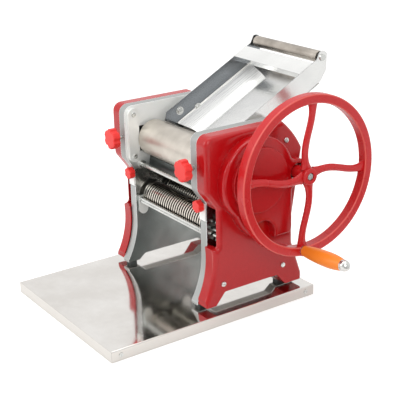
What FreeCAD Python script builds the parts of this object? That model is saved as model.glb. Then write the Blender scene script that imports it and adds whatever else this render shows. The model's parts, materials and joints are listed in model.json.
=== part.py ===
import FreeCAD, Part
import Sketcher
import math
import os

# Pasta machine. X runs to the right along the rollers, Y to the back and Z up.
# The origin is the centre of the board's underside. Lengths are in mm, angles in degrees.
# Heights that end in _rise are measured from the bottom of the frames' feet.

Vector = FreeCAD.Vector
Rotation = FreeCAD.Rotation
Placement = FreeCAD.Placement

document = FreeCAD.newDocument("PastaMachine")
sheet = document.addObject("Spreadsheet::Sheet", "Sizes")
places = document.addObject("App::VarSet", "Places")

SIZES = {
    # board
    "board_width": 250,
    "board_length": 315,
    "board_height": 15,
    "board_skin": 1.2,
    "board_edge_radius": 1.6,
    "edge_screw_head_radius": 3,
    "edge_screw_head": 0.8,
    "edge_screw_radius": 1.4,
    "edge_screw_reach": 12,
    "edge_screw_inset": 13.5,
    # feet
    "pad_thickness": 5,
    "pad_side_inset": 1.5,
    "pad_end_inset": 4,
    "foot_bolt_radius": 3,
    "foot_bolt_head_radius": 5,
    "foot_bolt_head": 4,
    "foot_bolt_recess": 5,
    "foot_bolt_bite": 11,
    "front_bolt_y": -0.5,
    "rear_bolt_y": 134,
    # side frames
    "frame_gap": 158,
    "frame_thickness": 13,
    "toe_y": -10,
    "toe_rise": 3,
    "instep_radius": 115,
    "waist_y": 6.8,
    "waist_low_rise": 70,
    "waist_high_rise": 137,
    "chest_y": -6,
    "chest_rise": 155,
    "top_rise": 227,
    "top_corner": 12,
    "top_back_y": 115,
    "nape_radius": 130,
    "nape_y": 146.8,
    "nape_rise": 187.4,
    "back_y": 131.5,
    "back_high_rise": 97,
    "back_low_rise": 59,
    "heel_y": 148,
    "heel_rise": 11,
    "arch_front_y": 8.4,
    "arch_slope": 10,
    "arch_rise": 8,
    "arch_back_y": 119,
    # covers
    "cover_toe_y": -8.5,
    "cover_toe_rise": 10,
    "cover_waist_y": 3.5,
    "cover_foot_rise": 2,
    "cover_arch_front_y": 6,
    "cover_arch_slope": 14,
    "cover_arch_rise": 18.4,
    "cover_depth": 20,
    "cover_wall": 1.5,
    "cover_round": 6,
    "cover_step": 2.5,
    "window_y": 11.4,
    "window_low_rise": 78.5,
    "window_high_rise": 131,
    "bulge_y": 66,
    "bulge_rise": 163.5,
    "bulge_radius": 55.5,
    "bulge_height": 13.5,
    "bulge_round": 4,
    "bulge_corner": 8,
    "lobe_front_rise": 121,
    "lobe_low_y": 64.8,
    "lobe_low_rise": 80,
    "lobe_back_y": 119.5,
    "lobe_bend_radius": 90,
    "hub_boss_radius": 17.5,
    "scoop_radius": 20,
    "scoop_y": 72,
    "scoop_rise": 86,
    "disc_radius": 42.5,
    "disc_height": 3.6,
    "disc_round": 1.2,
    "hub_hole_radius": 12,
    "cover_screw_radius": 2,
    "cover_screw_head_radius": 3.2,
    "cover_screw_head": 2.2,
    "cover_screw_bite": 8,
    "post_radius": 5,
    "screw_top_y": 118.4,
    "screw_top_rise": 202.3,
    "screw_heel_y": 114.1,
    "screw_heel_rise": 30.8,
    "screw_toe_y": 17.4,
    "screw_toe_rise": 29.9,
    # fits
    "running_gap": 0.05,
    "screw_gap": 0.05,
    # press rollers
    "roller_radius": 25,
    "roller_length": 148,
    "roller_nip": 0.5,
    "roller_fall": 22,
    "roller_bevel": 1,
    "front_roller_y": 36.5,
    "front_roller_rise": 178.5,
    "journal_radius": 9,
    "gear_seat_radius": 7,
    "roller_bush_wall": 4,
    "block_length": 34,
    "block_height": 36,
    "block_inset": 0.2,
    "block_travel": 2.5,
    "block_stop_gap": 0.3,
    # keeper bars
    "keeper_thickness": 4.5,
    "keeper_width": 16,
    "keeper_front_y": -2,
    "keeper_low_rise": 148,
    "keeper_high_rise": 223,
    "keeper_screw_radius": 2,
    "keeper_screw_head_radius": 3.5,
    "keeper_screw_head": 1.6,
    "keeper_screw_bite": 9,
    "keeper_screw_inset": 8,
    # adjusting screws
    "adjust_x_inset": 6.8,
    "adjust_rise": 183.8,
    "adjust_screw_radius": 3,
    "adjust_tip_radius": 2.2,
    "adjust_tip_length": 6,
    "adjust_knob_radius": 14,
    "adjust_knob_thickness": 10,
    "adjust_knob_y": -17,
    "knob_lobe_radius": 4.2,
    "knob_lobe_offset": 16.2,
    "knob_round": 1.6,
    "knob_grip_depth": 8,
    "knob_lobes": 6,
    # clamp knobs
    "clip_thickness": 1.5,
    "clip_low_rise": 112,
    "clip_high_rise": 135,
    "clamp_x_inset": 3.5,
    "clamp_rise": 131,
    "clamp_knob_radius": 8,
    "clamp_knob_thickness": 8,
    "clamp_lobe_radius": 2.6,
    "clamp_lobe_offset": 9.4,
    "clamp_round": 1,
    "clamp_screw_radius": 2,
    "clamp_screw_reach": 18,
    "clamp_gap": 0.3,
    # gears
    "gear_backlash": 0.2,
    "pair_backlash": 0.5,
    "pair_teeth": 20,
    "pair_face": 8,
    "layer_start": 2.5,
    "gear_end_play": 0.5,
    "shaft_stub": 1,
    "drive_module": 2.5,
    "drive_teeth": 20,
    "idler_teeth": 16,
    "cutter_teeth": 14,
    "drive_face": 10.5,
    "idler_y": 99.6,
    "idler_rise": 117.7,
    "reduction_module": 2,
    "reduction_teeth": 35,
    "pinion_teeth": 9,
    "pinion_shift": 0.4,
    "reduction_start": 17,
    "reduction_face": 12,
    "gear_hub_radius": 12,
    "stud_radius": 5,
    "stud_head_radius": 8,
    "stud_head": 2,
    "blind_wall": 2,
    # noodle cutters
    "cutter_y": 34,
    "cutter_rise": 96,
    "cutter_spacing": 35,
    "ring_radius": 18,
    "ring_root_radius": 14,
    "ring_width": 2.3,
    "ring_pitch": 5,
    "ring_count": 30,
    "cutter_journal_radius": 8,
    "cutter_seat_radius": 6,
    "cutter_bush_wall": 2.5,
    "cutter_side_gap": 0.3,
    "comb_reach": 10,
    "comb_drop": 4.4,
    "comb_bar_y": 12.6,
    "comb_bar_rise": 91.5,
    "comb_bar_thickness": 3,
    "comb_bar_height": 7,
    "comb_groove": 1.6,
    "comb_tooth_width": 1.8,
    "comb_tooth_height": 2.4,
    "comb_tip_height": 3.8,
    "bracket_thickness": 2,
    "bracket_front_y": 11,
    "bracket_width": 14,
    "bracket_low_rise": 69,
    "bracket_high_rise": 96,
    # guide plates and rods
    "guide_thickness": 1.5,
    "guide_low_y": 30,
    "guide_low_rise": 135,
    "guide_high_y": 32.5,
    "guide_high_rise": 151,
    "back_guide_low_y": 60,
    "back_guide_high_y": 65,
    "back_guide_low_rise": 118,
    "back_guide_high_rise": 137,
    "rod_radius": 3,
    "front_rod_y": 19,
    "front_rod_rise": 141.5,
    "rear_rod_y": 120,
    "rear_rod_rise": 90,
    "rod_collar_radius": 5.5,
    "rod_collar": 2,
    "rod_nut_radius": 5.5,
    "rod_nut": 2.2,
    # chute
    "chute_width": 144,
    "chute_sheet": 1,
    "chute_tilt": 27.6,
    "chute_top_y": 91.5,
    "chute_top_rise": 228.6,
    "chute_depth": 30.5,
    "chute_floor_start": -32,
    "chute_floor_end": 115,
    "chute_nose_along": -47.4,
    "chute_nose_depth": 8.6,
    "chute_front_along": -39.4,
    "chute_heel_along": 118,
    "chute_heel_depth": 28.5,
    "ear_along": 134.5,
    "ear_depth": 2.7,
    "ear_radius": 9,
    "ear_back_along": 132.5,
    "ear_back_depth": 21.7,
    "bridge_start": 92,
    "bridge_end": 117,
    "bridge_lip": 7,
    "front_fixing_along": -20.5,
    "front_fixing_depth": 11.6,
    "rear_fixing_along": 6.6,
    "rear_fixing_depth": 25.9,
    "fixing_radius": 2,
    "fixing_head_radius": 4.2,
    "fixing_head": 2,
    "fixing_bite": 10,
    "spacer_radius": 4.5,
    "end_roller_radius": 8,
    "end_roller_length": 134,
    "end_pin_radius": 3,
    "end_pin_head_radius": 4.5,
    "end_pin_head": 1.5,
    # handwheel
    "wheel_rise_over_roller": 1.7,
    "wheel_shaft_radius": 6,
    "wheel_seat_radius": 3.3,
    "wheel_thread_radius": 2.5,
    "wheel_bush_wall": 2,
    "sleeve_radius": 9,
    "hub_back": 133,
    "hub_front": 151,
    "hub_radius": 11.2,
    "hub_round": 2,
    "hub_recess_radius": 5.2,
    "hub_recess": 4,
    "rim_x": 143.5,
    "rim_radius": 106,
    "rim_width": 12,
    "rim_depth": 14.5,
    "rim_round": 2,
    "spoke_count": 4,
    "spoke_width": 9.6,
    "spoke_depth": 7.6,
    "spoke_flare": 4,
    "spoke_sway": 5.75,
    "spoke_lean": 1.75,
    "spoke_start": 28,
    "spoke_run": 60,
    "spoke_overlap": 2,
    "nut_radius": 4.6,
    "nut_thickness": 3.2,
    "shaft_end": 0.5,
    # handle
    "handle_radius": 98.5,
    "handle_angle": -95.6,
    "handle_cant": 4,
    "handle_x": 150.5,
    "boss_radius": 8,
    "spindle_thread_radius": 3,
    "spindle_thread": 9,
    "spindle_flange_radius": 6.5,
    "spindle_flange": 2,
    "spindle_radius": 4,
    "spindle_length": 77,
    "spindle_gap": 0.08,
    "grip_start": 2.4,
    "grip_length": 71,
    "grip_small_radius": 6.9,
    "grip_large_radius": 10,
    "grip_end_radius": 7.3,
    "grip_swell": 46,
    "grip_swell_bend": 300,
    "grip_end_bend": 120,
    "cap_gap": 0.6,
    "cap_edge": 4,
    "cap_length": 12,
    "cap_bend": 9.5,
}

for row, (alias, value) in enumerate(SIZES.items(), 1):
    sheet.set(f"A{row}", alias.replace("_", " "))
    sheet.set(f"B{row}", str(value))
    sheet.setAlias(f"B{row}", alias)
document.recompute()


def formula(value):
    """The expression text of a size or of a plain number."""
    return value.formula if isinstance(value, Size) else repr(float(value))


class Size(float):
    """A number that remembers the expression it was worked out with."""

    def __new__(cls, value, text):
        size = super().__new__(cls, value)
        size.formula = text
        return size

    def __add__(self, other):
        return Size(float(self) + float(other), f"({formula(self)} + {formula(other)})")

    def __radd__(self, other):
        return Size(float(other) + float(self), f"({formula(other)} + {formula(self)})")

    def __sub__(self, other):
        return Size(float(self) - float(other), f"({formula(self)} - {formula(other)})")

    def __rsub__(self, other):
        return Size(float(other) - float(self), f"({formula(other)} - {formula(self)})")

    def __mul__(self, other):
        return Size(float(self) * float(other), f"({formula(self)} * {formula(other)})")

    def __rmul__(self, other):
        return Size(float(other) * float(self), f"({formula(other)} * {formula(self)})")

    def __truediv__(self, other):
        return Size(float(self) / float(other), f"({formula(self)} / {formula(other)})")

    def __neg__(self):
        return Size(-float(self), f"(0 - {formula(self)})")


def cosine(angle):
    return Size(math.cos(math.radians(angle)), f"cos({formula(angle)})")


def sine(angle):
    return Size(math.sin(math.radians(angle)), f"sin({formula(angle)})")


def root(value):
    return Size(math.sqrt(value), f"sqrt({formula(value)})")


class SizeSheet:
    """Reads a driving size, or a place worked out from them, by its name."""

    def __getattr__(self, name):
        if name in SIZES:
            return Size(float(getattr(sheet, name)), f"Sizes.{name}")
        return Size(float(getattr(places, name)), f"Places.{name}")


size = SizeSheet()


def place(name, value):
    """Keep a worked-out place in the document under a name of its own."""
    places.addProperty("App::PropertyFloat", name)
    places.setExpression(name, formula(value))
    setattr(places, name, float(value))


place("foot_z", size.board_height + size.pad_thickness)
place("frame_inner", size.frame_gap / 2)
place("frame_outer", size.frame_inner + size.frame_thickness)
place("cover_face", size.frame_outer + size.cover_depth)
place("bulge_face", size.cover_face + size.bulge_height)
place("roller_pitch", 2 * size.roller_radius + size.roller_nip)
place("front_roller_z", size.foot_z + size.front_roller_rise)
place("rear_roller_y", size.front_roller_y + size.roller_pitch * cosine(size.roller_fall))
place("rear_roller_z", size.front_roller_z - size.roller_pitch * sine(size.roller_fall))
place("wheel_reach", size.reduction_module * (size.reduction_teeth + size.pinion_teeth) / 2)
place("wheel_z", size.rear_roller_z + size.wheel_rise_over_roller)
place("wheel_y", size.rear_roller_y + root(size.wheel_reach * size.wheel_reach
                                           - size.wheel_rise_over_roller * size.wheel_rise_over_roller))
place("cutter_z", size.foot_z + size.cutter_rise)
place("rear_cutter_y", size.cutter_y + size.cutter_spacing)
place("idler_z", size.foot_z + size.idler_rise)
place("layer_x", size.frame_outer + size.layer_start)
place("drive_end", size.layer_x + size.drive_face)
place("reduction_x", size.frame_outer + size.reduction_start)
place("reduction_end", size.reduction_x + size.reduction_face)
place("chute_half", size.chute_width / 2)
place("handle_y", size.wheel_y + size.handle_radius * cosine(size.handle_angle))
place("handle_z", size.wheel_z + size.handle_radius * sine(size.handle_angle))
place("adjust_x", size.frame_inner + size.adjust_x_inset)
place("clamp_x", size.frame_inner + size.clamp_x_inset)
place("clip_face_y", size.waist_y - size.clip_thickness)
document.recompute()

parts = {}


def keep(label, item):
    """Name a finished sub-part and list it for writing."""
    item.Label = label
    parts[label] = item
    return item


def bind(item, **values):
    """Tie properties to the sheet; a double underscore stands for a dot."""
    for name, value in values.items():
        item.setExpression(name.replace("__", "."), formula(value))
    return item


def move(item, x=0, y=0, z=0):
    return bind(item, Placement__Base__x=x, Placement__Base__y=y, Placement__Base__z=z)


def box(x, y, z):
    """A box between pairs of coordinates."""
    item = document.addObject("Part::Box", "Block")
    bind(item, Length=x[1] - x[0], Width=y[1] - y[0], Height=z[1] - z[0])
    return move(item, x[0], y[0], z[0])


QUARTER_TURNS = {
    "x": Rotation(Vector(0, 1, 0), 90),
    "y": Rotation(Vector(1, 0, 0), -90),
    "z": Rotation(),
}


def cylinder(axis, radius, length, x=0, y=0, z=0):
    """A cylinder that runs from its place along +axis."""
    item = document.addObject("Part::Cylinder", "Round")
    item.Placement = Placement(Vector(), QUARTER_TURNS[axis])
    bind(item, Radius=radius, Height=length)
    return move(item, x, y, z)


def hexagon(axis, radius, length, x=0, y=0, z=0):
    """A nut blank, its radius measured to the corners."""
    item = document.addObject("Part::Prism", "Hexagon")
    item.Polygon = 6
    item.Placement = Placement(Vector(), QUARTER_TURNS[axis])
    bind(item, Circumradius=radius, Height=length)
    return move(item, x, y, z)


def joined(*items):
    if len(items) == 1:
        return items[0]
    item = document.addObject("Part::MultiFuse", "Joined")
    item.Shapes = list(items)
    return item


def cut(base, *tools):
    item = document.addObject("Part::Cut", "Cut")
    item.Base = base
    item.Tool = joined(*tools)
    return item


def group(*items):
    item = document.addObject("Part::Compound", "Group")
    item.Links = list(items)
    return item


def ring(axis, outer, inner, length, x=0, y=0, z=0):
    return cut(cylinder(axis, outer, length, x, y, z), cylinder(axis, inner, length, x, y, z))


def new_body(x=0, y=0, z=0, rotation=None):
    body = document.addObject("PartDesign::Body", "Body")
    if rotation:
        body.Placement = Placement(Vector(), rotation)
    return move(body, x, y, z)


def origin_feature(body, role):
    return next(item for item in body.Origin.OriginFeatures if item.Role == role)


def sketch_on(body, role, lift=0):
    sketch = body.newObject("Sketcher::SketchObject", "Sketch")
    sketch.AttachmentSupport = [(origin_feature(body, role), "")]
    sketch.MapMode = "FlatFace"
    return bind(sketch, AttachmentOffset__Base__z=lift)


def fix(sketch, kind, items, value):
    """Add one sized constraint and tie it to the sheet."""
    index = sketch.addConstraint(Sketcher.Constraint(kind, *items, float(value)))
    sketch.setExpression(f"Constraints[{index}]", formula(value))


def pin_point(sketch, geometry, spot, across, up):
    fix(sketch, "DistanceX", (-1, 1, geometry, spot), across)
    fix(sketch, "DistanceY", (-1, 1, geometry, spot), up)


def bend_between(start, stop, radius, outward):
    """The arc from start to stop; outward bends lie to the right of the way."""
    chord = stop - start
    left = Vector(-chord.y, chord.x, 0).normalize()
    reach = math.sqrt(radius ** 2 - (chord.Length / 2) ** 2)
    centre = (start + stop) * 0.5 + left * (reach if outward else -reach)
    first, last = (start, stop) if outward else (stop, start)
    angles = [math.atan2(point.y - centre.y, point.x - centre.x) for point in (first, last)]
    return Part.ArcOfCircle(Part.Circle(centre, Vector(0, 0, 1), float(radius)), *angles)


def draw_outline(sketch, corners):
    """A closed outline, counter-clockwise. A corner is (across, up) or (across, up, radius,
    outward), where the radius bends the side from that corner to the next."""
    ends = []
    for corner, following in zip(corners, corners[1:] + corners[:1]):
        start = Vector(corner[0], corner[1], 0)
        stop = Vector(following[0], following[1], 0)
        if len(corner) == 2:
            ends.append((sketch.addGeometry(Part.LineSegment(start, stop)), 1, 2))
        else:
            arc = bend_between(start, stop, corner[2], corner[3])
            geometry = sketch.addGeometry(arc)
            ends.append((geometry, 1, 2) if corner[3] else (geometry, 2, 1))
    for index, (geometry, _, tail) in enumerate(ends):
        follower, head, _ = ends[(index + 1) % len(ends)]
        sketch.addConstraint(Sketcher.Constraint("Coincident", geometry, tail, follower, head))
    for corner, (geometry, head, _) in zip(corners, ends):
        pin_point(sketch, geometry, head, corner[0], corner[1])
        if len(corner) == 4:
            fix(sketch, "Radius", (geometry,), corner[2])


def draw_circle(sketch, across, up, radius):
    centre = Vector(across, up, 0)
    geometry = sketch.addGeometry(Part.Circle(centre, Vector(0, 0, 1), float(radius)))
    pin_point(sketch, geometry, 3, across, up)
    fix(sketch, "Radius", (geometry,), radius)


def draw_oval(sketch, across, up, half_across, half_up):
    """An ellipse that is taller than it is wide."""
    centre = Vector(across, up, 0)
    top = centre + Vector(0, half_up, 0)
    flank = centre - Vector(half_across, 0, 0)
    oval = sketch.addGeometry(Part.Ellipse(top, flank, centre))
    sketch.exposeInternalGeometry(oval)
    pin_point(sketch, oval, 3, across, up)
    sketch.addConstraint(Sketcher.Constraint("Vertical", oval + 1))
    fix(sketch, "Distance", (oval + 1,), half_up * 2)
    fix(sketch, "Distance", (oval + 2,), half_across * 2)


def pad(body, sketch, length, backwards=False):
    feature = body.newObject("PartDesign::Pad", "Pad")
    feature.Profile = sketch
    feature.Reversed = backwards
    return bind(feature, Length=length)


def pocket(body, sketch, length, backwards=False):
    feature = body.newObject("PartDesign::Pocket", "Pocket")
    feature.Profile = sketch
    feature.Reversed = backwards
    return bind(feature, Length=length)


def revolve(body, sketch):
    feature = body.newObject("PartDesign::Revolution", "Revolution")
    feature.Profile = sketch
    feature.ReferenceAxis = (sketch, ["H_Axis"])
    feature.Angle = 360
    return feature


def round_edges(body, base, chosen, radius):
    """Round the edges of the last feature that the test picks."""
    document.recompute()
    names = [f"Edge{index}" for index, edge in enumerate(base.Shape.Edges, 1) if chosen(edge)]
    feature = body.newObject("PartDesign::Fillet", "Fillet")
    feature.Base = (base, names)
    return bind(feature, Radius=radius)


def along_x_at(*spots):
    """Picks the straight edges that run along X through the spots."""
    def chosen(edge):
        first, last = edge.Vertexes[0].Point, edge.Vertexes[-1].Point
        across = Vector(0, last.y - first.y, last.z - first.z)
        if across.Length > 0.01 or abs(last.x - first.x) < 0.01:
            return False
        return any(math.hypot(first.y - y, first.z - z) < 0.05 for y, z in spots)
    return chosen


def in_plane_x(x, test=lambda edge: True):
    """Picks the edges that lie in a plane across X."""
    def chosen(edge):
        bounds = edge.BoundBox
        return abs(bounds.XMin - x) < 0.01 and abs(bounds.XMax - x) < 0.01 and test(edge)
    return chosen


def turned(steps, y=0, z=0, bore=0, rotation=None, x=0):
    """A turned piece along X from (start, end, radius) steps."""
    body = new_body(x, y, z, rotation)
    sketch = sketch_on(body, "XY_Plane")
    corners = [(steps[0][0], bore), (steps[-1][1], bore)]
    for start, end, radius in reversed(steps):
        corners += [(end, radius), (start, radius)]
    draw_outline(sketch, corners)
    revolve(body, sketch)
    return body


def side_outline(toe_y, toe_rise, foot_z, front, arch_front, arch_z, arch_back):
    """The outline that the frames and the covers share, in Y and Z.
    The corners in front are those below the chest; the last one starts the instep."""
    foot = size.foot_z
    return [
        (toe_y, foot_z),
        (arch_front[0], foot_z),
        (arch_front[1], arch_z),
        (arch_back[1], arch_z),
        (arch_back[0], foot_z),
        (size.heel_y, foot_z),
        (size.heel_y, foot + size.heel_rise),
        (size.back_y, foot + size.back_low_rise),
        (size.back_y, foot + size.back_high_rise),
        (size.nape_y, foot + size.nape_rise, size.nape_radius, True),
        (size.top_back_y, foot + size.top_rise),
        (size.chest_y + size.top_corner, foot + size.top_rise, size.top_corner, True),
        (size.chest_y, foot + size.top_rise - size.top_corner),
        (size.chest_y, foot + size.chest_rise),
        *front[:-1],
        (*front[-1], size.instep_radius, False),
        (toe_y, foot + toe_rise),
    ]


def outline_corners(front, arch_front_y, arch_back_y, arch_z):
    """Corners of the side outline that get a large round, and those with a small one."""
    foot = size.foot_z
    large = [
        (size.chest_y, foot + size.chest_rise),
        (size.back_y, foot + size.back_low_rise),
        (size.back_y, foot + size.back_high_rise),
    ]
    small = [
        *front[:-1],
        (arch_front_y, arch_z),
        (arch_back_y, arch_z),
        (size.heel_y, foot + size.heel_rise),
        (size.nape_y, foot + size.nape_rise),
        (size.top_back_y, foot + size.top_rise),
    ]
    return large, small


LARGE_CORNER = 12
SMALL_CORNER = 5


def board():
    half_x = size.board_width / 2
    half_y = size.board_length / 2
    skin = size.board_skin
    height = size.board_height
    body = new_body()
    sketch = sketch_on(body, "XY_Plane")
    draw_outline(sketch, [(-half_x, -half_y), (half_x, -half_y), (half_x, half_y), (-half_x, half_y)])
    block = pad(body, sketch, height)

    def at_top(edge):
        return edge.BoundBox.ZMin > height - 0.01

    round_edges(body, block, at_top, size.board_edge_radius)
    core_x = (skin - half_x, half_x - skin)
    core_y = (skin - half_y, half_y - skin)
    core_space = box(core_x, core_y, (0, height - skin))
    screw_spots = [(side, end) for side in (-1, 1) for end in (-1, 1)]
    screws = []
    for side, end in screw_spots:
        start = side * half_x
        at = (end * (half_y - size.edge_screw_inset), height / 2)
        if side > 0:
            shank = cylinder("x", size.edge_screw_radius, size.edge_screw_reach,
                             start - size.edge_screw_reach, *at)
            head = cylinder("x", size.edge_screw_head_radius, size.edge_screw_head, start, *at)
        else:
            shank = cylinder("x", size.edge_screw_radius, size.edge_screw_reach, start, *at)
            head = cylinder("x", size.edge_screw_head_radius, size.edge_screw_head,
                            start - size.edge_screw_head, *at)
        screws.append(joined(shank, head))
    bolts = foot_bolts()
    shell = cut(body, core_space)
    keep("base_skin", cut(shell, *screws, *bolts))
    keep("base_core", cut(box(core_x, core_y, (0, height - skin)), *screws, *bolt_recesses(), *bolts))
    keep("base_edge_screws", group(*screws))
    keep("foot_bolts", group(*bolts))


def bolt_places():
    middle = size.frame_inner + size.frame_thickness / 2
    return [(side * middle, y) for side in (-1, 1) for y in (size.front_bolt_y, size.rear_bolt_y)]


def bolt_recesses():
    return [cylinder("z", size.foot_bolt_head_radius, size.foot_bolt_recess, x, y, 0)
            for x, y in bolt_places()]


def foot_bolts():
    """Bolts from under the board through the pads into the frames' feet."""
    top = size.foot_z + size.foot_bolt_bite
    bolts = []
    for x, y in bolt_places():
        start = size.foot_bolt_recess - size.foot_bolt_head
        head = cylinder("z", size.foot_bolt_head_radius, size.foot_bolt_head, x, y, start)
        shank = cylinder("z", size.foot_bolt_radius, top - start, x, y, start)
        bolts.append(joined(head, shank))
    return bolts


def foot_pads():
    """Rubber pads, a little smaller than the frames' feet."""
    pads = []
    for side in (-1, 1):
        for front, back in ((size.toe_y, size.arch_front_y), (size.arch_back_y, size.heel_y)):
            inner = size.frame_inner + size.pad_side_inset
            outer = size.frame_outer - size.pad_side_inset
            x = (inner, outer) if side > 0 else (-outer, -inner)
            y = (front + size.pad_end_inset, back - size.pad_end_inset)
            slab = box(x, y, (size.board_height, size.foot_z))
            middle = side * (size.frame_inner + size.frame_thickness / 2)
            bolt_y = size.front_bolt_y if front < 0 else size.rear_bolt_y
            hole = cylinder("z", size.foot_bolt_radius, size.pad_thickness, middle, bolt_y,
                            size.board_height)
            pads.append(cut(slab, hole))
    keep("foot_pads", group(*pads))


def cover_screw_spots():
    foot = size.foot_z
    return [
        (size.screw_top_y, foot + size.screw_top_rise),
        (size.screw_heel_y, foot + size.screw_heel_rise),
        (size.screw_toe_y, foot + size.screw_toe_rise),
    ]


def keeper_screw_spots():
    y = size.keeper_front_y + size.keeper_width / 2
    inset = size.keeper_screw_inset
    return [
        (y, size.foot_z + size.keeper_low_rise + inset),
        (y, size.foot_z + size.keeper_high_rise - inset),
    ]


def from_chute(along, depth):
    """Y and Z of a point given along the chute's top edge and square below it."""
    lean, lift = cosine(size.chute_tilt), sine(size.chute_tilt)
    top_z = size.foot_z + size.chute_top_rise
    return (size.chute_top_y + along * lean + depth * lift, top_z + along * lift - depth * lean)


def fixing_spots():
    return [
        from_chute(size.front_fixing_along, size.front_fixing_depth),
        from_chute(size.rear_fixing_along, size.rear_fixing_depth),
    ]


def rod_spots():
    return [
        (size.front_rod_y, size.foot_z + size.front_rod_rise),
        (size.rear_rod_y, size.foot_z + size.rear_rod_rise),
    ]


def bush_radius():
    return size.journal_radius + size.running_gap + size.roller_bush_wall


def cutter_bush_radius():
    return size.cutter_journal_radius + size.running_gap + size.cutter_bush_wall


def wheel_bush_radius():
    return size.wheel_shaft_radius + size.running_gap + size.wheel_bush_wall


def frame(side):
    """A side frame: a plate with a window for the bearing block."""
    thickness = size.frame_thickness
    arch_z = size.foot_z + size.arch_rise
    arch_front = (size.arch_front_y, size.arch_front_y + size.arch_slope)
    arch_back = (size.arch_back_y, size.arch_back_y - size.arch_slope)
    waist = [(size.waist_y, size.foot_z + rise) for rise in (size.waist_high_rise, size.waist_low_rise)]
    body = new_body(size.frame_inner if side > 0 else -size.frame_outer)
    sketch = sketch_on(body, "YZ_Plane")
    draw_outline(sketch, side_outline(size.toe_y, size.toe_rise, size.foot_z, waist,
                                      arch_front, arch_z, arch_back))
    plate = pad(body, sketch, thickness)
    large, small = outline_corners(waist, arch_front[1], arch_back[1], arch_z)
    plate = round_edges(body, plate, along_x_at(*large), LARGE_CORNER)
    plate = round_edges(body, plate, along_x_at(*small), SMALL_CORNER)

    holes = sketch_on(body, "YZ_Plane")
    half_length = size.block_length / 2
    half_height = size.block_height / 2 + size.running_gap
    block_front = size.front_roller_y - half_length
    front = block_front - size.block_travel - size.block_stop_gap
    back = size.front_roller_y + half_length
    low = size.front_roller_z - half_height
    high = size.front_roller_z + half_height
    draw_outline(holes, [(front, low), (back, low), (back, high), (front, high)])
    draw_circle(holes, size.rear_roller_y, size.rear_roller_z, bush_radius())
    for y in (size.cutter_y, size.rear_cutter_y):
        draw_circle(holes, y, size.cutter_z, cutter_bush_radius())
    for y, z in rod_spots():
        draw_circle(holes, y, z, size.rod_radius)
    if side > 0:
        draw_circle(holes, size.wheel_y, size.wheel_z, wheel_bush_radius())
        draw_circle(holes, size.idler_y, size.idler_z, size.stud_radius)
    pocket(body, holes, thickness, backwards=True)

    tools = []
    inner_face = size.frame_inner if side > 0 else -size.frame_inner
    outer_face = size.frame_outer if side > 0 else -size.frame_outer

    def inward_hole(face, radius, depth, y, z, towards):
        start = face if towards > 0 else face - depth
        return cylinder("x", radius, depth, start, y, z)

    for y, z in keeper_screw_spots():
        tools.append(inward_hole(inner_face, size.keeper_screw_radius, size.keeper_screw_bite, y, z, side))
    for y, z in fixing_spots():
        tools.append(inward_hole(inner_face, size.fixing_radius, size.fixing_bite, y, z, side))
    for y, z in cover_screw_spots():
        tools.append(inward_hole(outer_face, size.cover_screw_radius, size.cover_screw_bite, y, z, -side))
    for x, y in bolt_places():
        tools.append(cylinder("z", size.foot_bolt_radius, size.foot_bolt_bite, x, y, size.foot_z))
    adjust_length = block_front + size.adjust_tip_length + size.screw_gap - size.chest_y
    tools.append(cylinder("y", size.adjust_screw_radius + size.screw_gap, adjust_length,
                          side * size.adjust_x, size.chest_y, size.foot_z + size.adjust_rise))
    tools.append(cylinder("y", size.clamp_screw_radius + size.screw_gap, size.clamp_screw_reach,
                          side * size.clamp_x, size.waist_y, size.foot_z + size.clamp_rise))
    keep("frame_right" if side > 0 else "frame_left", cut(body, *tools))


def cover(side):
    """A pressed side cover, hollow towards the frame. Its front steps back behind a ledge, and the
    wall there is open as a window on the gears."""
    depth = size.cover_depth
    wall = size.cover_wall
    foot_z = size.foot_z + size.cover_foot_rise
    arch_z = size.foot_z + size.cover_arch_rise
    arch_front = (size.cover_arch_front_y, size.cover_arch_front_y + size.cover_arch_slope)
    arch_back = (size.arch_back_y, size.arch_back_y - size.cover_arch_slope)
    window_low = size.foot_z + size.window_low_rise
    window_high = size.foot_z + size.window_high_rise
    front = [(size.window_y, window_high), (size.window_y, window_low), (size.cover_waist_y, window_low)]
    start = side * size.frame_outer
    body = new_body()
    sketch = sketch_on(body, "YZ_Plane", start)
    draw_outline(sketch, side_outline(size.cover_toe_y, size.cover_toe_rise, foot_z, front,
                                      arch_front, arch_z, arch_back))
    shell = pad(body, sketch, depth, side < 0)
    large, small = outline_corners(front, arch_front[1], arch_back[1], arch_z)
    shell = round_edges(body, shell, along_x_at(*large), LARGE_CORNER)
    shell = round_edges(body, shell, along_x_at(*small), SMALL_CORNER)

    def above_arch(edge):
        return edge.BoundBox.ZMax > arch_z + size.cover_round

    round_edges(body, shell, in_plane_x(side * size.cover_face, above_arch), size.cover_round)
    hollows = [
        hollow(sketch, wall, depth - size.cover_round, side),
        hollow(sketch, wall + size.cover_step, depth - wall, side),
    ]
    if side > 0:
        hollows += bulge(body)

    screws = [cylinder("x", size.cover_screw_radius, depth, min(side * size.frame_outer,
                       side * size.cover_face), y, z) for y, z in cover_screw_spots()]
    edge = size.cover_face - size.cover_round
    window_x = (size.frame_outer, edge) if side > 0 else (-edge, -size.frame_outer)
    window = box(window_x, (size.cover_waist_y, size.window_y + wall * 2), (window_low, window_high))
    tools = [window, *screws, *hollows]
    if side > 0:
        tools.append(cylinder("x", size.hub_hole_radius, size.bulge_height + size.cover_round, edge,
                              size.wheel_y, size.wheel_z))
    keep("cover_right" if side > 0 else "cover_left", cut(body, *tools))


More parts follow.
